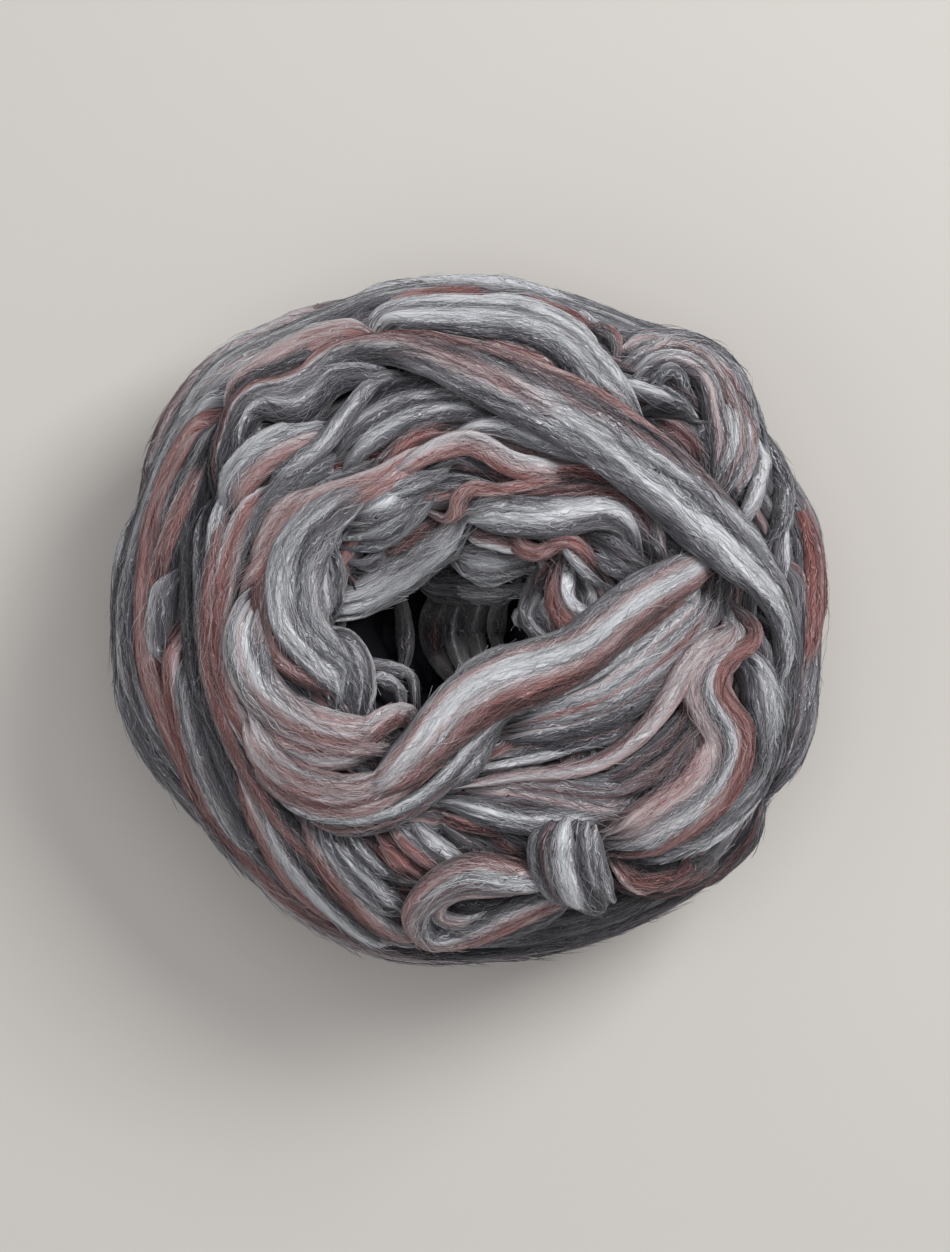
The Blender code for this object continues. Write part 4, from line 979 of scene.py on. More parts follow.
    def add(self, ring, tone, rose, show, run, widest, closed):
        """Stores one tube's points and faces."""
        rows, sides = ring.shape[:2]
        base = self.vertices
        self.points.append(ring.reshape(-1, 3))
        row_start = self.count * self.UV_ROW
        across_uv = row_start + (np.arange(sides + 1) / sides) * self.GIRTH * widest * MM
        self.tone.append(tone.reshape(-1))
        self.rose.append(rose.reshape(-1))
        self.show.append(np.broadcast_to(show, (rows, sides)).reshape(-1))
        last = rows if closed else rows - 1
        i = np.arange(last)[:, None]
        k = np.arange(sides)[None, :]
        i2, k2 = (i + 1) % rows, (k + 1) % sides
        quads = np.stack([i * sides + k, i * sides + k2, i2 * sides + k2,
                          i2 * sides + k], axis=-1).reshape(-1, 4) + base
        u_of = np.concatenate([run, [run[-1] + STEP_MM]]) * MM
        corner_u = np.stack([u_of[i + 0 * k], u_of[i + 0 * k], u_of[i + 1 + 0 * k],
                             u_of[i + 1 + 0 * k]], axis=-1).reshape(-1, 4)
        corner_v = np.stack([across_uv[k + 0 * i], across_uv[k + 1 + 0 * i],
                             across_uv[k + 1 + 0 * i], across_uv[k + 0 * i]],
                            axis=-1).reshape(-1, 4)
        self.faces.extend(quads[:, ::-1].tolist())
        self.face_uv.append(np.stack([corner_u, corner_v], axis=-1)[:, ::-1]
                            .reshape(-1, 2))
        if not closed:
            self.faces.append(list(range(base, base + sides)))
            self.face_uv.append(np.tile([0.0, row_start], (sides, 1)))
            self.faces.append(list(range(base + (rows - 1) * sides,
                                         base + rows * sides))[::-1])
            self.face_uv.append(np.tile([run[-1] * MM, row_start], (sides, 1)))
        self.vertices += rows * sides

    def mesh(self, name):
        """One object of all the tubes, in metres about the ball's own middle."""
        data = bpy.data.meshes.new(name)
        points = np.concatenate(self.points)
        points[:, 0] -= PLAN_CENTRE[0]
        points[:, 1] -= PLAN_CENTRE[1]
        data.from_pydata((points * MM).tolist(), [], self.faces)
        layer = data.uv_layers.new(name="UVMap")
        layer.data.foreach_set("uv", np.concatenate(self.face_uv)
                               .astype(np.float32).ravel())
        for key, values in (("tone", self.tone), ("rose", self.rose),
                            ("show", self.show)):
            set_number(data, key,
                       np.clip(np.concatenate(values), 0, 1).astype(np.float32))
        flow = data.attributes.new("flow", "FLOAT_VECTOR", "POINT")
        flow.data.foreach_set("vector", np.concatenate(self.flow)
                              .astype(np.float32).ravel())
        data.polygons.foreach_set("use_smooth", [True] * len(data.polygons))
        data.update()
        return linked(name, data)


def set_number(data, key, values):
    """A named number on each point of a mesh."""
    attribute = data.attributes.new(key, "FLOAT", "POINT")
    attribute.data.foreach_set("value", values)


def mesh_of(name, built):
    """A mesh made from a bmesh, which is freed."""
    data = bpy.data.meshes.new(name)
    built.to_mesh(data)
    built.free()
    return data


def linked(name, data):
    """A new object in the scene for a mesh, a light or a camera."""
    obj = bpy.data.objects.new(name, data)
    bpy.context.scene.collection.objects.link(obj)
    return obj


def along_values(values, run):
    """Evenly spaced values smoothly spread over a run."""
    place = run / run[-1] * (len(values) - 1)
    low = np.clip(np.floor(place).astype(int), 0, len(values) - 2)
    values = np.asarray(values, float)
    return values[low] + (values[low + 1] - values[low]) * eased(place - low)


def add_strand(wool, strand):
    """A strand of the outer layer, whose ends taper and dive."""
    route = smooth_route(strand.route, STEP_MM)
    run = run_of(route)
    reach = min(DIVE_MM, 0.4 * run[-1])
    lift = strand.lift if isinstance(strand.lift, tuple) else (strand.lift,) * 2
    x, y, z = drawn_in(route[:, 0], route[:, 1], along_values(lift, run))
    points = np.stack([x, y, evened(z, 3)], axis=1)
    across, outward = section_frames(points, unit(evened(up_normal(x, y), 6)))
    level = np.maximum(np.linalg.norm(across[:, :2], axis=1), 0.55)
    width = along_values(strand.widths, run) * WIDTH_GAIN
    tip = np.clip(np.minimum(run, run[-1] - run) / (1.15 * reach), 0, 1) ** 0.65
    half_width = 0.5 * width / level * (0.30 + 0.70 * tip)
    thickness = THICKNESS_MM + THICKNESS_SHARE * width
    half_height = 0.5 * thickness * (0.15 + 0.85 * tip)
    wool.tube(points, -across, outward, (half_width, half_height), strand.bands,
              dive=(DIVE_DEPTH, reach))


def lower_point(degrees, level, lift):
    """A point on the lower half at a level, and its outward direction."""
    radius = outer_radius(degrees)
    drop = np.clip((WIDEST_Z - level) / FOOT_REACH, -0.3, 0.985)
    share = (1 - np.abs(drop) ** 2.3) ** (1 / 2.1)
    angle = np.radians(degrees)
    out = unit(np.stack([np.cos(angle), np.sin(angle), -1.1 * drop], axis=1))
    plan = (radius * share)[:, None] * np.stack([np.cos(angle), np.sin(angle)], axis=1)
    return with_level(plan, level) + out * lift, out


def add_turn(wool, turn):
    """A closed turn round the side; one with a negative lift only fills gaps."""
    seen = turn.lift >= 0
    degrees = np.linspace(0, 360, TURN_RINGS if seen else HIDDEN_RINGS, endpoint=False)
    level = turn.level + turn.sway * np.sin(np.radians(degrees - turn.phase))
    points, out = lower_point(degrees, level, turn.lift)
    across, outward = section_frames(points, out, closed=True)
    half = np.full(len(points), 0.5 * turn.width)
    wool.tube(points, -across, outward, (half, 0 * half + TURN_HALF), turn.bands,
              closed=True, show=0.5 if seen else 0.0)


def add_under(wool, under, clear):
    """A strand on a chord across the underside, both ends running into it."""
    angle = math.radians(under.toward)
    ahead = np.array([math.cos(angle), math.sin(angle)])
    aside = np.array([-math.sin(angle), math.cos(angle)])
    reach = UNDER_SHARE * (min(OUTLINE) - SHELL_INSET)
    half = math.sqrt(reach ** 2 - under.offset ** 2)
    t = np.linspace(-1, 1, UNDER_RINGS)
    plan = half * t[:, None] * ahead + under.offset * (1 + 0.12 * t[:, None] ** 2) * aside
    degrees = bearing(plan[:, 0], plan[:, 1])
    share = np.hypot(*plan.T) / outer_radius(degrees)
    drop = (1 - np.clip(share, 0, 1) ** 2.1) ** (1 / 2.3)
    level = WIDEST_Z - FOOT_REACH * drop
    ease = eased(np.clip((1 - np.abs(t)) * half / (1.8 * DIVE_MM), 0, 1))
    lift = under.lift - 1.1 * DIVE_DEPTH * (1 - ease)
    outward = unit(np.stack([0.9 * share ** 3 * np.cos(np.radians(degrees)),
                             0.9 * share ** 3 * np.sin(np.radians(degrees)),
                             -np.ones_like(share)], axis=1))
    points = with_level(plan, level) + outward * lift[:, None]
    across, outward = section_frames(points, outward)
    wool.tube(points, -across, outward,
              (0.5 * under.width * (0.45 + 0.55 * ease), UNDER_HALF * (0.6 + 0.4 * ease)),
              under.bands, show=0.22, clear=clear)


def add_deep(wool, deep):
    """A deeper turn all round the hollow."""
    degrees = np.linspace(0, 360, DEEP_RINGS, endpoint=False)
    part = deep.share + deep.sway * np.sin(
        np.radians(degrees) * 2 - math.radians(deep.phase))
    plan = from_hollow(degrees, part[:, None])
    normal = up_normal(*plan.T)
    points = with_level(plan, winding_height(*plan.T)) + normal * DEEP_LIFT
    across, outward = section_frames(points, normal, closed=True)
    half = np.full(len(points), 0.5 * DEEP_WIDTH)
    wool.tube(points, -across, outward, (half, 0 * half + DEEP_HALF), deep.bands,
              closed=True, show=0.2 if deep.share < 0.95 else 0.0)


def free_end(wool, stations, bands, share=1.0):
    """The loop or the knot as a lobed tube, and the line it follows."""
    plan_x, plan_y, width, thickness, lift = smooth_route(stations, END_STEP_MM).T
    x, y, z = drawn_in(plan_x, plan_y, lift)
    points = np.stack([x, y, z], axis=1)
    across, outward = section_frames(points, up_normal(x, y))
    halves = (0.5 * share * width, 0.5 * share * thickness)
    wool.tube(points, -across, outward, halves, bands, whole=True)
    return (points - np.array([*PLAN_CENTRE, 0.0])) * MM


def add_knot_lock(wool, lock):
    """One of the locks that lie side by side over the knot."""
    route = smooth_route(lock.route, LOCK_STEP_MM)
    run = run_of(route)
    lift = along_values(KNOT_LIFTS, run) + lock.proud
    x, y, z = drawn_in(route[:, 0], route[:, 1], lift)
    points = np.stack([x, y, z], axis=1)
    across, outward = section_frames(points, up_normal(x, y))
    ease = 0.35 + 0.65 * ease_of(run, 8.0)
    wool.tube(points, -across, outward,
              (0.5 * lock.width * ease, LOCK_HALF_SHARE * lock.width * ease),
              lock.bands)


# ---------------------------------------------------------------- the nodes

class Graph:
    """Adds nodes to a tree in rows, each given the values or sockets it takes."""

    ROW, WIDE, HIGH = 12, 190.0, 260.0

    def __init__(self, tree, left=0.0):
        self.tree, self.left, self.made = tree, left, 0

    def add(self, kind, inputs=None, **settings):
        new = self.tree.nodes.new(kind)
        down, along = divmod(self.made, self.ROW)
        new.location = (self.left + along * self.WIDE, -down * self.HIGH)
        self.made += 1
        for key, value in settings.items():
            setattr(new, key, value)
        for key, value in (inputs or {}).items():
            socket = new.inputs[key]
            if isinstance(value, bpy.types.NodeSocket):
                self.tree.links.new(value, socket)
            else:
                socket.default_value = value
        return new

    def math(self, operation, *values, clamp=False):
        return self.add("ShaderNodeMath", dict(enumerate(values)),
                        operation=operation, use_clamp=clamp).outputs[0]

    def vector(self, operation, *values, scale=None):
        inputs = dict(enumerate(values))
        if scale is not None:
            inputs["Scale"] = scale
        made = self.add("ShaderNodeVectorMath", inputs, operation=operation)
        return made.outputs[1 if operation in ("DOT_PRODUCT", "LENGTH") else 0]

    def joined(self, x=0.0, y=0.0, z=0.0):
        return self.add("ShaderNodeCombineXYZ", {0: x, 1: y, 2: z}).outputs[0]

    def named(self, label, kind="FLOAT"):
        return self.add("GeometryNodeInputNamedAttribute", {"Name": label},
                        data_type=kind).outputs["Attribute"]

    def store(self, geometry, label, value, kind="FLOAT", selection=None):
        inputs = {"Geometry": geometry, "Name": label, "Value": value}
        if selection is not None:
            inputs["Selection"] = selection
        return self.add("GeometryNodeStoreNamedAttribute", inputs, data_type=kind,
                        domain="POINT").outputs[0]

    def moved(self, geometry, **inputs):
        return self.add("GeometryNodeSetPosition",
                        {"Geometry": geometry, **inputs}).outputs[0]

    def chance(self, low, high, seed, who):
        return self.add("FunctionNodeRandomValue", {2: low, 3: high, "ID": who,
                                                    "Seed": seed}).outputs[1]

    def mapped(self, value, low, high, to_low=0.0, to_high=1.0):
        return self.add("ShaderNodeMapRange", {0: value, 1: low, 2: high, 3: to_low,
                                               4: to_high}).outputs[0]

    def drawn_out(self, uv, along, around, detail, roughness=0.5):
        """Noise with so many grains a metre along a strand and around it."""
        mapping = self.add("ShaderNodeMapping",
                           {"Vector": uv, "Scale": (along, around, 1.0)})
        return self.add("ShaderNodeTexNoise", {
            "Vector": mapping.outputs[0], "Scale": 1.0, "Detail": detail,
            "Roughness": roughness}).outputs["Fac"]

    def crimped(self, uv, depth, slant=0.0):
        """A strand's own coordinates with a fine waviness in them, at a slant."""
        sway = self.math("MULTIPLY", self.drawn_out(uv, 210.0, 330.0, 1.0), depth)
        if slant:
            along = self.add("ShaderNodeSeparateXYZ", {0: uv}).outputs[0]
            sway = self.math("ADD", sway, self.math("MULTIPLY", along, slant))
        return self.vector("ADD", uv, self.joined(y=sway))

    def ramp(self, value, stops):
        made = self.add("ShaderNodeValToRGB", {0: value})
        ends = made.color_ramp.elements
        while len(ends) < len(stops):
            ends.new(0.5)
        for element, (position, colour) in zip(ends, stops):
            element.position = position
            element.color = (*colour, 1.0)
        return made.outputs[0]


# ------------------------------------------------------------ the materials

BLACK = (0.0, 0.0, 0.0)
# Stray hairs that cross the strand: slant, and how far they lighten it
CROSSING_HAIRS = ((0.20, 0.38), (-0.24, 0.34), (0.09, -0.34))


def blend(a, b, share):
    return tuple(x + (y - x) * share for x, y in zip(a, b))


def streaked(graph, tone, rose):
    """Tone and rose with fine hairs in them, and the height of those hairs."""
    plain = graph.add("ShaderNodeUVMap", uv_map="UVMap").outputs[0]
    uv = graph.crimped(plain, 0.0021)
    hair = graph.drawn_out(uv, 34.0, 2300.0, 3.0, 0.7)
    lock = graph.drawn_out(uv, 18.0, 800.0, 2.0, 0.6)
    band = graph.drawn_out(uv, 9.0, 420.0, 2.0, 0.6)
    shift = graph.math("ADD", graph.math("MULTIPLY", hair, 1.05),
                       graph.math("MULTIPLY", lock, 0.50))
    shift = graph.math("SUBTRACT", shift, 0.785)
    height = graph.math("ADD", hair, graph.math("MULTIPLY", lock, 1.2))
    for slant, gain in CROSSING_HAIRS:
        cross = graph.drawn_out(graph.crimped(plain, 0.0042, slant), 62.0, 2300.0, 1.0)
        cross = graph.math("SUBTRACT", cross, 0.57)
        cross = graph.math("MULTIPLY", cross, 7.0, clamp=True)
        shift = graph.math("ADD", shift, graph.math("MULTIPLY", cross, gain))
        height = graph.math("ADD", height, graph.math("MULTIPLY", cross, 0.7 * gain))
    stray = graph.math("MULTIPLY", graph.math("SUBTRACT", band, 0.5), 0.75)
    return (graph.math("ADD", tone, shift, clamp=True),
            graph.math("ADD", rose, stray, clamp=True), height)


def wool_material(name, streaky=True, sheen=0.34):
    """Combed wool: tone and rose come from the mesh, fine streaks from noise."""
    palette = colours()
    material = bpy.data.materials.new(name)
    material.use_nodes = True
    tree = material.node_tree
    shader = tree.nodes["Principled BSDF"]
    graph = Graph(tree, left=-2600.0)
    tone, rose = (graph.add("ShaderNodeAttribute", attribute_name=key).outputs["Fac"]
                  for key in ("tone", "rose"))
    if streaky:
        tone, rose, height = streaked(graph, tone, rose)
        bump = graph.add("ShaderNodeBump", {"Strength": 0.75, "Distance": 0.0007,
                                            "Height": height})
        tree.links.new(bump.outputs[0], shader.inputs["Normal"])
    greys = graph.ramp(tone, (
        (0.0, blend(BLACK, palette.charcoal, 0.55)), (0.16, palette.charcoal),
        (0.52, palette.grey), (0.78, blend(palette.grey, palette.white, 0.50)),
        (1.0, palette.white)))
    roses = graph.ramp(tone, (
        (0.0, blend(BLACK, palette.brown, 0.6)), (0.18, palette.brown),
        (0.44, palette.terracotta), (0.66, blend(palette.terracotta, palette.pink, 0.42)),
        (1.0, palette.pink)))
    mix = graph.add("ShaderNodeMix", {0: rose, 6: greys, 7: roses}, data_type="RGBA")
    tree.links.new(mix.outputs[2], shader.inputs["Base Color"])
    for key, value in (("Roughness", 0.72), ("Specular IOR Level", 0.18),
                       ("Sheen Weight", sheen), ("Sheen Roughness", 0.45)):
        shader.inputs[key].default_value = value
    return material


def material_named(name, **options):
    return bpy.data.materials.get(name) or wool_material(name, **options)


# ---------------------------------------------------------------- the fibres

class FibreGraph(Graph):
    """Loose fibres of count points that run along the strands they lie on."""

    def __init__(self, tree, count):
        super().__init__(tree)
        self.count = count
        self.inside = self.add("NodeGroupInput").outputs
        strands = self.add("GeometryNodeCollectionInfo",
                           {"Collection": self.inside["Strands"]}).outputs[0]
        self.ground = self.add("GeometryNodeRealizeInstances", {0: strands}).outputs[0]

        # Away from the ball: straight up on top, level at the sides, down beneath
        position = self.add("GeometryNodeInputPosition").outputs[0]
        self.xyz = self.add("ShaderNodeSeparateXYZ", {0: position}).outputs
        plan = self.joined(self.xyz["X"], self.xyz["Y"])
        side = self.vector("SCALE", self.vector("NORMALIZE", plan),
                           scale=self.mapped(self.vector("LENGTH", plan), *SIDE_REACH))
        rise = self.joined(z=self.mapped(self.xyz["Z"], *TURN_HEIGHTS, -1.0, 1.0))
        self.away = self.vector("NORMALIZE", self.vector("ADD", side, rise))
        self.back = self.vector("SCALE", self.away, scale=-1.0)
        self.above = self.vector("ADD", position,
                                 self.vector("SCALE", self.away, scale=ABOVE))
        self.who = self.named("fibre", "INT")
        self.step = self.named("step", "INT")
        self.part = self.math("DIVIDE", self.step, count - 1.0)

    def hit(self, label=None, kind="FLOAT"):
        """Where a ray from above a point meets the strands, and what it finds."""
        inputs = {"Target Geometry": self.ground, "Source Position": self.above,
                  "Ray Direction": self.back, "Ray Length": 3 * ABOVE}
        if label:
            inputs["Attribute"] = self.named(label, kind)
        return self.add("GeometryNodeRaycast", inputs, data_type=kind).outputs

    def roots(self):
        """Points anywhere on the strands, brought out to the surface above them,
        with a copy of each for every step along its fibre."""
        scatter = self.add("GeometryNodeDistributePointsOnFaces", {
            "Mesh": self.ground, "Seed": self.inside["Seed"],
            "Density": self.math("MULTIPLY", self.inside["Density"],
                                 self.named("show"))})
        points = self.store(scatter.outputs[0], "fibre",
                            self.add("GeometryNodeInputIndex").outputs[0], "INT")
        for label, kind in (("tone", "FLOAT"), ("rose", "FLOAT"),
                            ("flow", "FLOAT_VECTOR")):
            points = self.store(points, label, self.hit(label, kind)["Attribute"], kind)
        points = self.moved(points, Position=self.hit()["Hit Position"])
        copies = self.add("GeometryNodeDuplicateElements", {
            "Geometry": points, "Amount": self.count}, domain="POINT").outputs
        points = self.store(copies["Geometry"], "step", copies["Duplicate Index"], "INT")
        return self.store(points, "gone", 0.0)

    def grown(self, points):
        """Each pass moves every point that isn't yet in its place one step on."""
        begin = self.add("GeometryNodeRepeatInput")
        end = self.add("GeometryNodeRepeatOutput")
        begin.pair_with_output(end)
        begin.inputs["Iterations"].default_value = self.count - 1
        self.tree.links.new(points, begin.inputs["Geometry"])
        going = self.add("FunctionNodeCompare", {
            2: self.step, 3: begin.outputs["Iteration"]}, data_type="INT",
            operation="GREATER_THAN").outputs[0]
        points = self.stepped(begin.outputs["Geometry"], going,
                              begin.outputs["Iteration"])
        points = self.settled(points, going)
        self.tree.links.new(points, end.inputs["Geometry"])
        return end.outputs["Geometry"]

    def stepped(self, points, going, turn_of):
        """One step along the flow, turned a little by the fibre's own wander."""
        flow = self.named("flow", "FLOAT_VECTOR")
        stride = self.math("MULTIPLY", self.inside["Length"],
                           self.chance(0.4, 1.6, 1, self.who))
        stride = self.math("DIVIDE", stride, self.count - 1.0)
        turn = self.math("MULTIPLY", self.inside["Wander"],
                         self.chance(-1.0, 1.0, 2, self.who))
        each = self.math("MULTIPLY_ADD", self.who, 16.0, turn_of)
        crimp = self.math("MULTIPLY", self.inside["Crimp"],
                          self.chance(-1.0, 1.0, 3, each))
        course = self.add("ShaderNodeVectorRotate", {
            "Vector": flow, "Axis": self.away,
            "Angle": self.math("ADD", turn, crimp)}).outputs[0]
        return self.moved(points, Selection=going,
                          Offset=self.vector("SCALE", course, scale=stride))

    def settled(self, points, going):
        """Laid on the strand below, whose run and colour it takes up by degrees."""
        flow = self.named("flow", "FLOAT_VECTOR")
        under = self.hit("flow", "FLOAT_VECTOR")
        drop = self.math("SUBTRACT", under["Hit Distance"], ABOVE)
        near = self.add("FunctionNodeCompare", {0: drop, 1: BURIED},
                        operation="GREATER_THAN").outputs[0]
        touch = self.math("MULTIPLY", near, under["Is Hit"])
        level = self.math("MULTIPLY", touch, self.math("LESS_THAN", drop, LYING))
        same_way = self.math("SIGN", self.vector("DOT_PRODUCT", under["Attribute"], flow))
        pull = self.vector("SCALE", under["Attribute"], scale=same_way)
        pull = self.vector("SCALE", pull, scale=self.math("MULTIPLY", level, FOLLOW))
        fade = self.math("MULTIPLY", level, TONE_FOLLOW)
        for label in ("tone", "rose"):
            own = self.named(label)
            change = self.math("SUBTRACT", self.hit(label)["Attribute"], own)
            points = self.store(points, label,
                                self.math("MULTIPLY_ADD", change, fade, own),
                                selection=going)
        flow = self.vector("NORMALIZE", self.vector("ADD", flow, pull))
        points = self.store(points, "flow", flow, "FLOAT_VECTOR", going)
        gone = self.math("MAXIMUM", self.named("gone"),
                         self.math("GREATER_THAN", drop, ASTRAY))
        points = self.store(points, "gone", gone, selection=going)
        fall = self.math("MULTIPLY", self.math("MINIMUM", drop, DEEPEST), touch)
        return self.moved(points, Selection=going,
                          Offset=self.vector("SCALE", self.back, scale=fall))

    def lifted(self, points):
        """What would hang in the air is cut off.  Most fibres hug the strand, and a
        few lift off it toward one end."""
        hanging = self.math("MULTIPLY", self.named("gone"),
                            self.math("GREATER_THAN", self.step, 1.5))
        points = self.add("GeometryNodeDeleteGeometry", {
            "Geometry": points, "Selection": hanging}, domain="POINT").outputs[0]
        stray = self.math("MULTIPLY", self.inside["Stray"], self.math(
            "POWER", self.chance(0.0, 1.0, 4, self.who), 6.0))
        lift = self.math("MULTIPLY", stray, self.math("POWER", self.part, 1.6))
        lift = self.math("ADD", lift, self.chance(0.0, FUZZ, 5, self.who))
        points = self.moved(points, Offset=self.vector("SCALE", self.away, scale=lift))
        return self.moved(points, Position=self.joined(
            self.xyz["X"], self.xyz["Y"],
            self.math("MAXIMUM", self.xyz["Z"], FIBRE_FLOOR)))

    def hairs(self, points, material):
        """Slim tubes through the points, thinner at both ends."""
        lines = self.add("GeometryNodePointsToCurves", {
            "Points": points, "Curve Group ID": self.who,
            "Weight": self.step}).outputs[0]
        middle = self.math("ABSOLUTE", self.math("MULTIPLY_ADD", self.part, 2.0, -1.0))
        slim = self.math("SUBTRACT", 1.0, self.math("MULTIPLY", self.math(
            "POWER", middle, 3.0), 0.8))
        thick = self.math("MULTIPLY", self.math("MULTIPLY", self.inside["Radius"], slim),
                          self.chance(0.6, 1.4, 6, self.who))
        outline = self.add("GeometryNodeCurvePrimitiveCircle",
                           {"Resolution": 3, "Radius": 1.0}, mode="RADIUS")
        hairs = self.add("GeometryNodeCurveToMesh", {
            "Curve": lines, "Profile Curve": outline.outputs["Curve"], "Scale": thick,
            "Fill Caps": True}).outputs[0]
        tone = self.math("ADD", self.math("ADD", self.named("tone"), self.inside["Tone"]),
                         self.chance(-0.28, 0.28, 7, self.who))
        hairs = self.store(hairs, "tone", self.math(
            "MAXIMUM", self.math("MINIMUM", tone, 1.0), 0.0))
        hairs = self.add("GeometryNodeRealizeInstances", {0: hairs}).outputs[0]
        return self.add("GeometryNodeSetMaterial", {
            "Geometry": hairs, "Material": material}).outputs[0]


def fibre_tree(material, count):
    """A tree with named inputs that turns a collection of strands into fibres."""
    tree = bpy.data.node_groups.new("wool fibres of %d" % count, "GeometryNodeTree")
    face = tree.interface
    face.new_socket("Geometry", in_out="OUTPUT", socket_type="NodeSocketGeometry")
    for label, kind in (("Strands", "Collection"), ("Density", "Float"),
                        ("Length", "Float"), ("Radius", "Float"),
                        ("Stray", "Float"), ("Wander", "Float"), ("Crimp", "Float"),
                        ("Tone", "Float"), ("Seed", "Int")):
        face.new_socket(label, in_out="INPUT", socket_type="NodeSocket" + kind)
    graph = FibreGraph(tree, count)
    points = graph.lifted(graph.grown(graph.roots()))
    graph.add("NodeGroupOutput", {0: graph.hairs(points, material)})
    return tree


def fibres_over(strands, name, tree, **values):
    """A plain mesh of the loose fibres on a collection of strands."""
    host = linked(name + " host", bpy.data.meshes.new(name + " host"))
    modifier = host.modifiers.new("fibres", "NODES")
    modifier.node_group = tree
    values["Strands"] = strands
    for item in tree.interface.items_tree:
        if item.item_type == "SOCKET" and item.name in values:
            modifier[item.identifier] = values[item.name]
    graph = bpy.context.evaluated_depsgraph_get()
    data = bpy.data.meshes.new_from_object(host.evaluated_get(graph))
    bpy.data.objects.remove(host, do_unlink=True)
    data.name = name
    return linked(name, data)


def finish_piece(obj, material, slot_name="ball_wool", node_name="wound_ball"):
    """Gives a piece its material and its body and hides the node it covers; its slot name is not
    used.
    """
    obj.data.materials.clear()
    obj.data.materials.append(material)
    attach(obj, "root")
    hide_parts(node_name)
    return obj


def finish_wool(wool, name, *place):
    return finish_piece(wool.mesh(name), material_named("combed wool"), *place)


# ------------------------------------------------------------- the operators

class WOOL_OT_studio(bpy.types.Operator):
    """Camera straight above, pale floor and soft light"""
    bl_idname = "wool.studio"
    bl_label = "Studio"

    def execute(self, context):
        scene = context.scene
        camera = linked("camera", bpy.data.cameras.new("camera"))
        aim = [(half / 2 - centre) / PX_PER_MM for half, centre
               in zip(FRAME_PX, CENTRE_PX)]
        camera.location = ((aim[0] - PLAN_CENTRE[0]) * MM,
                           (-aim[1] - PLAN_CENTRE[1]) * MM,
                           (EYE_MM + WIDEST_Z) * MM)
        camera.data.sensor_width = SENSOR_MM
        camera.data.lens = SENSOR_MM * EYE_MM * PX_PER_MM / FRAME_PX[1]
        camera.data.clip_end = 20.0
        scene.camera = camera

        built = bmesh.new()
        bmesh.ops.create_grid(built, x_segments=1, y_segments=1, size=FLOOR_HALF)
        floor = linked("floor", mesh_of("floor", built))
        material = bpy.data.materials.new("floor")
        material.use_nodes = True
        shader = material.node_tree.nodes["Principled BSDF"]
        shader.inputs["Base Color"].default_value = (*colours().floor, 1.0)
        shader.inputs["Roughness"].default_value = 0.9
        floor.data.materials.append(material)

        for light in LIGHTS:
            lamp = linked(light.name, bpy.data.lights.new(light.name, "AREA"))
            lamp.data.energy = light.power
            lamp.data.size = light.size
            lamp.location = light.place
            toward = Vector(LIT_POINT) - lamp.location
            lamp.rotation_euler = toward.to_track_quat("-Z", "Y").to_euler()
        world = bpy.data.worlds.new("studio")
        world.use_nodes = True
        back = world.node_tree.nodes["Background"]
        back.inputs[0].default_value = SKY_COLOUR
        back.inputs[1].default_value = SKY_STRENGTH
        scene.world = world
        scene.view_settings.view_transform = "Standard"
        return {"FINISHED"}


class WOOL_OT_loose_end(bpy.types.Operator):
    """The end loop and the knot that ties it"""
    bl_idname = "wool.loose_end"
    bl_label = "End loop and knot"

    def execute(self, context):
        wool = Wool(71)
        free_end(wool, KNOT, KNOT_BANDS, KNOT_CORE)
        for lock in KNOT_LOCKS:
            add_knot_lock(wool, lock)
        knot = finish_wool(wool, "end_knot_wool", "knot_wool", "end_knot")
        wool = Wool(72)
        line = free_end(wool, LOOP, LOOP_BANDS)
        loop = finish_wool(wool, "end_loop_wool", "loop_wool", "end_loop")
        return {"FINISHED"}


class WOOL_OT_inner_turns(bpy.types.Operator):
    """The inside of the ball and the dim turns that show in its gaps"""
    bl_idname = "wool.inner_turns"
    bl_label = "Inner turns"

    def execute(self, context):
        degrees = np.linspace(0, 360, CORE_RINGS, endpoint=False)
        rows = []
        for part in np.linspace(0.04, 0.985, 28):
            plan = from_hollow(degrees, part)
            rows.append(with_level(plan, winding_height(*plan.T))
                        - up_normal(*plan.T) * CORE_INSET)
        for level in np.linspace(WIDEST_Z, WIDEST_Z - 0.93 * FOOT_REACH, 10):
            point, _ = lower_point(degrees, np.full_like(degrees, level), -CORE_INSET)
            rows.append(point)
        built = bmesh.new()
        shift = Vector((*PLAN_CENTRE, 0.0))
        rings = [[built.verts.new((Vector(point) - shift) * MM) for point in row]
                 for row in rows]
        for ring, after in zip(rings, rings[1:]):
            for k in range(len(ring)):
                n = (k + 1) % len(ring)
                built.faces.new((ring[k], after[k], after[n], ring[n]))
        built.faces.new(rings[0])
        built.faces.new(list(reversed(rings[-1])))
        bmesh.ops.recalc_face_normals(built, faces=built.faces[:])
        data = mesh_of("ball_inside", built)
        # A near-black tone: painted shade, as the inside only shows deep in the gaps
        for key, value in (("tone", 0.04), ("rose", 0.0)):
            set_number(data, key, [value] * len(data.vertices))
        finish_piece(linked("ball_inside", data),
                     material_named("inner wool", streaky=False, sheen=0.0))

        wool = Wool(11)
        for deep in DEEPS:
            add_deep(wool, deep)
        finish_wool(wool, "ball_deep_turns")
        return {"FINISHED"}


class WOOL_OT_strands(bpy.types.Operator):
    """The strands of the outer layer"""
    bl_idname = "wool.strands"
    bl_label = "Strands"

    def execute(self, context):
        half = len(STRANDS) // 2
        for seed, label, rows in ((21, "upper", STRANDS[:half]),
                                  (22, "lower", STRANDS[half:])):
            wool = Wool(seed)
            for strand in rows:
                add_strand(wool, strand)
            finish_wool(wool, "ball_strands_" + label)
        return {"FINISHED"}


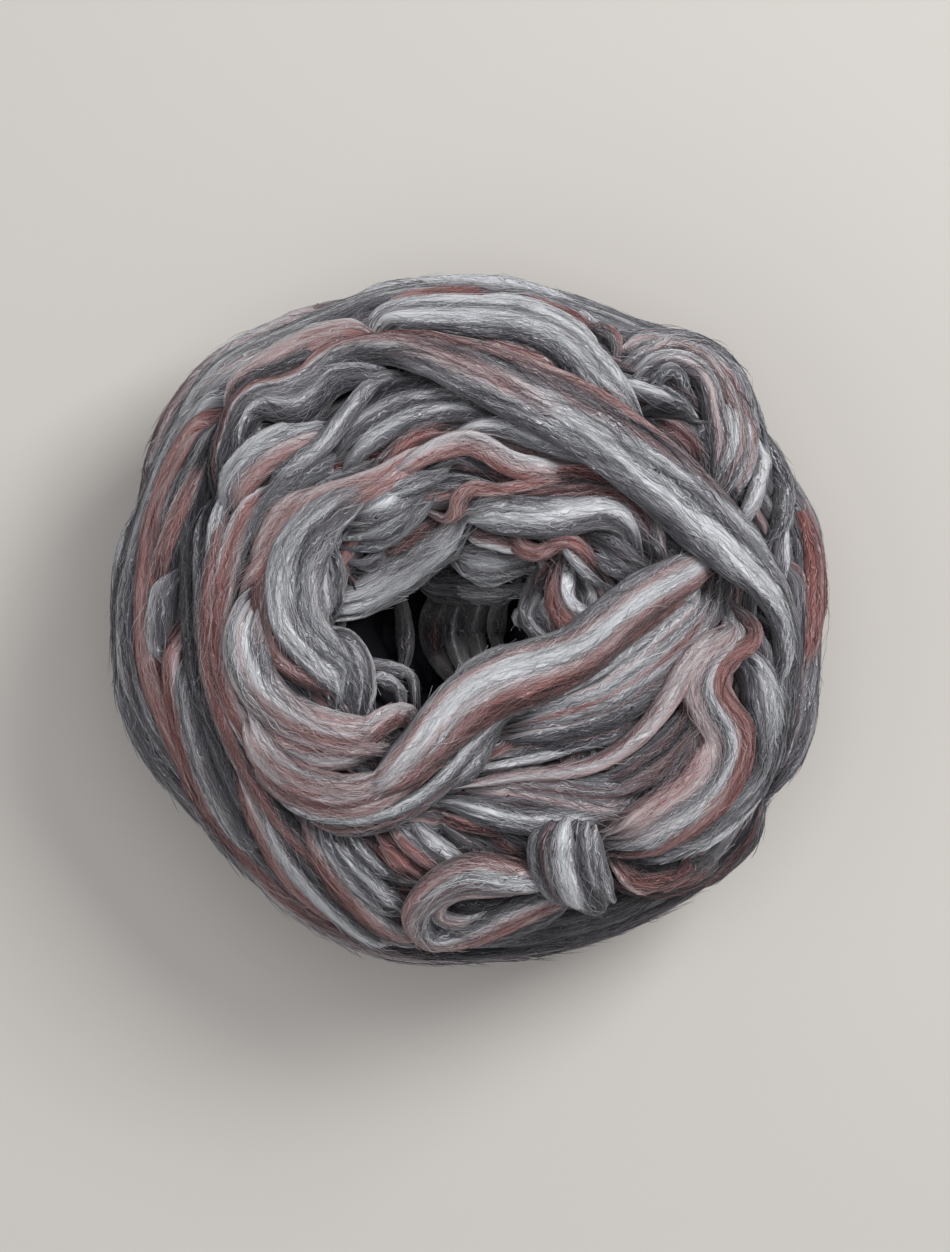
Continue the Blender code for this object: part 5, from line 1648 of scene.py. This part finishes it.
class WOOL_OT_sides(bpy.types.Operator):
    """The turns round the sides and under the ball"""
    bl_idname = "wool.sides"
    bl_label = "Side turns"

    def execute(self, context):
        wool = Wool(31)
        for turn in TURNS:
            add_turn(wool, turn)
        for row, under in enumerate(UNDERS):
            add_under(wool, under, FLOOR_CLEAR + 0.05 * (len(UNDERS) - row))
        finish_wool(wool, "ball_side_turns")
        return {"FINISHED"}


class WOOL_OT_fibres(bpy.types.Operator):
    """The loose fibres that lie along the strands and cross between them"""
    bl_idname = "wool.fibres"
    bl_label = "Fibres"

    def execute(self, context):
        strands = bpy.data.collections.new("strands")
        for name in STRAND_PIECES:
            strands.objects.link(bpy.data.objects[name])
        finish = material_named("loose fibres", streaky=False)
        trees = {steps: fibre_tree(finish, steps) for steps in (7, 5)}
        size = sizes()
        for row in FIBRES:
            hairs = fibres_over(strands, row.name, trees[row.steps],
                                Density=row.density * size.fibre_density,
                                Length=row.length * size.fibre_length,
                                Radius=row.radius * size.fibre_radius,
                                Stray=row.stray, Wander=row.wander, Crimp=row.crimp,
                                Tone=row.tone, Seed=row.seed)
            finish_piece(hairs, finish)
        bpy.data.collections.remove(strands)
        return {"FINISHED"}


class WOOL_PT_panel(bpy.types.Panel):
    """Wool roving ball"""
    bl_idname = "WOOL_PT_panel"
    bl_label = "Wool roving"
    bl_space_type = "VIEW_3D"
    bl_region_type = "UI"
    bl_category = "Wool"

    def draw(self, context):
        for step in STEPS:
            self.layout.operator(step.bl_idname)
        for group in (context.scene.wool_sizes, context.scene.wool_colours):
            for name in group.__annotations__:
                self.layout.prop(group, name)


STEPS = (WOOL_OT_studio, WOOL_OT_loose_end, WOOL_OT_inner_turns, WOOL_OT_strands,
         WOOL_OT_sides, WOOL_OT_fibres)
CLASSES = (WoolSizes, WoolColours, *STEPS, WOOL_PT_panel)


def register():
    for made in CLASSES:
        bpy.utils.register_class(made)
    bpy.types.Scene.wool_sizes = bpy.props.PointerProperty(type=WoolSizes)
    bpy.types.Scene.wool_colours = bpy.props.PointerProperty(type=WoolColours)


def unregister():
    del bpy.types.Scene.wool_colours
    del bpy.types.Scene.wool_sizes
    for made in reversed(CLASSES):
        bpy.utils.unregister_class(made)


def main():
    register()
    for step in STEPS:
        group, name = step.bl_idname.split(".")
        getattr(getattr(bpy.ops, group), name)()


if __name__ == "__main__":
    main()
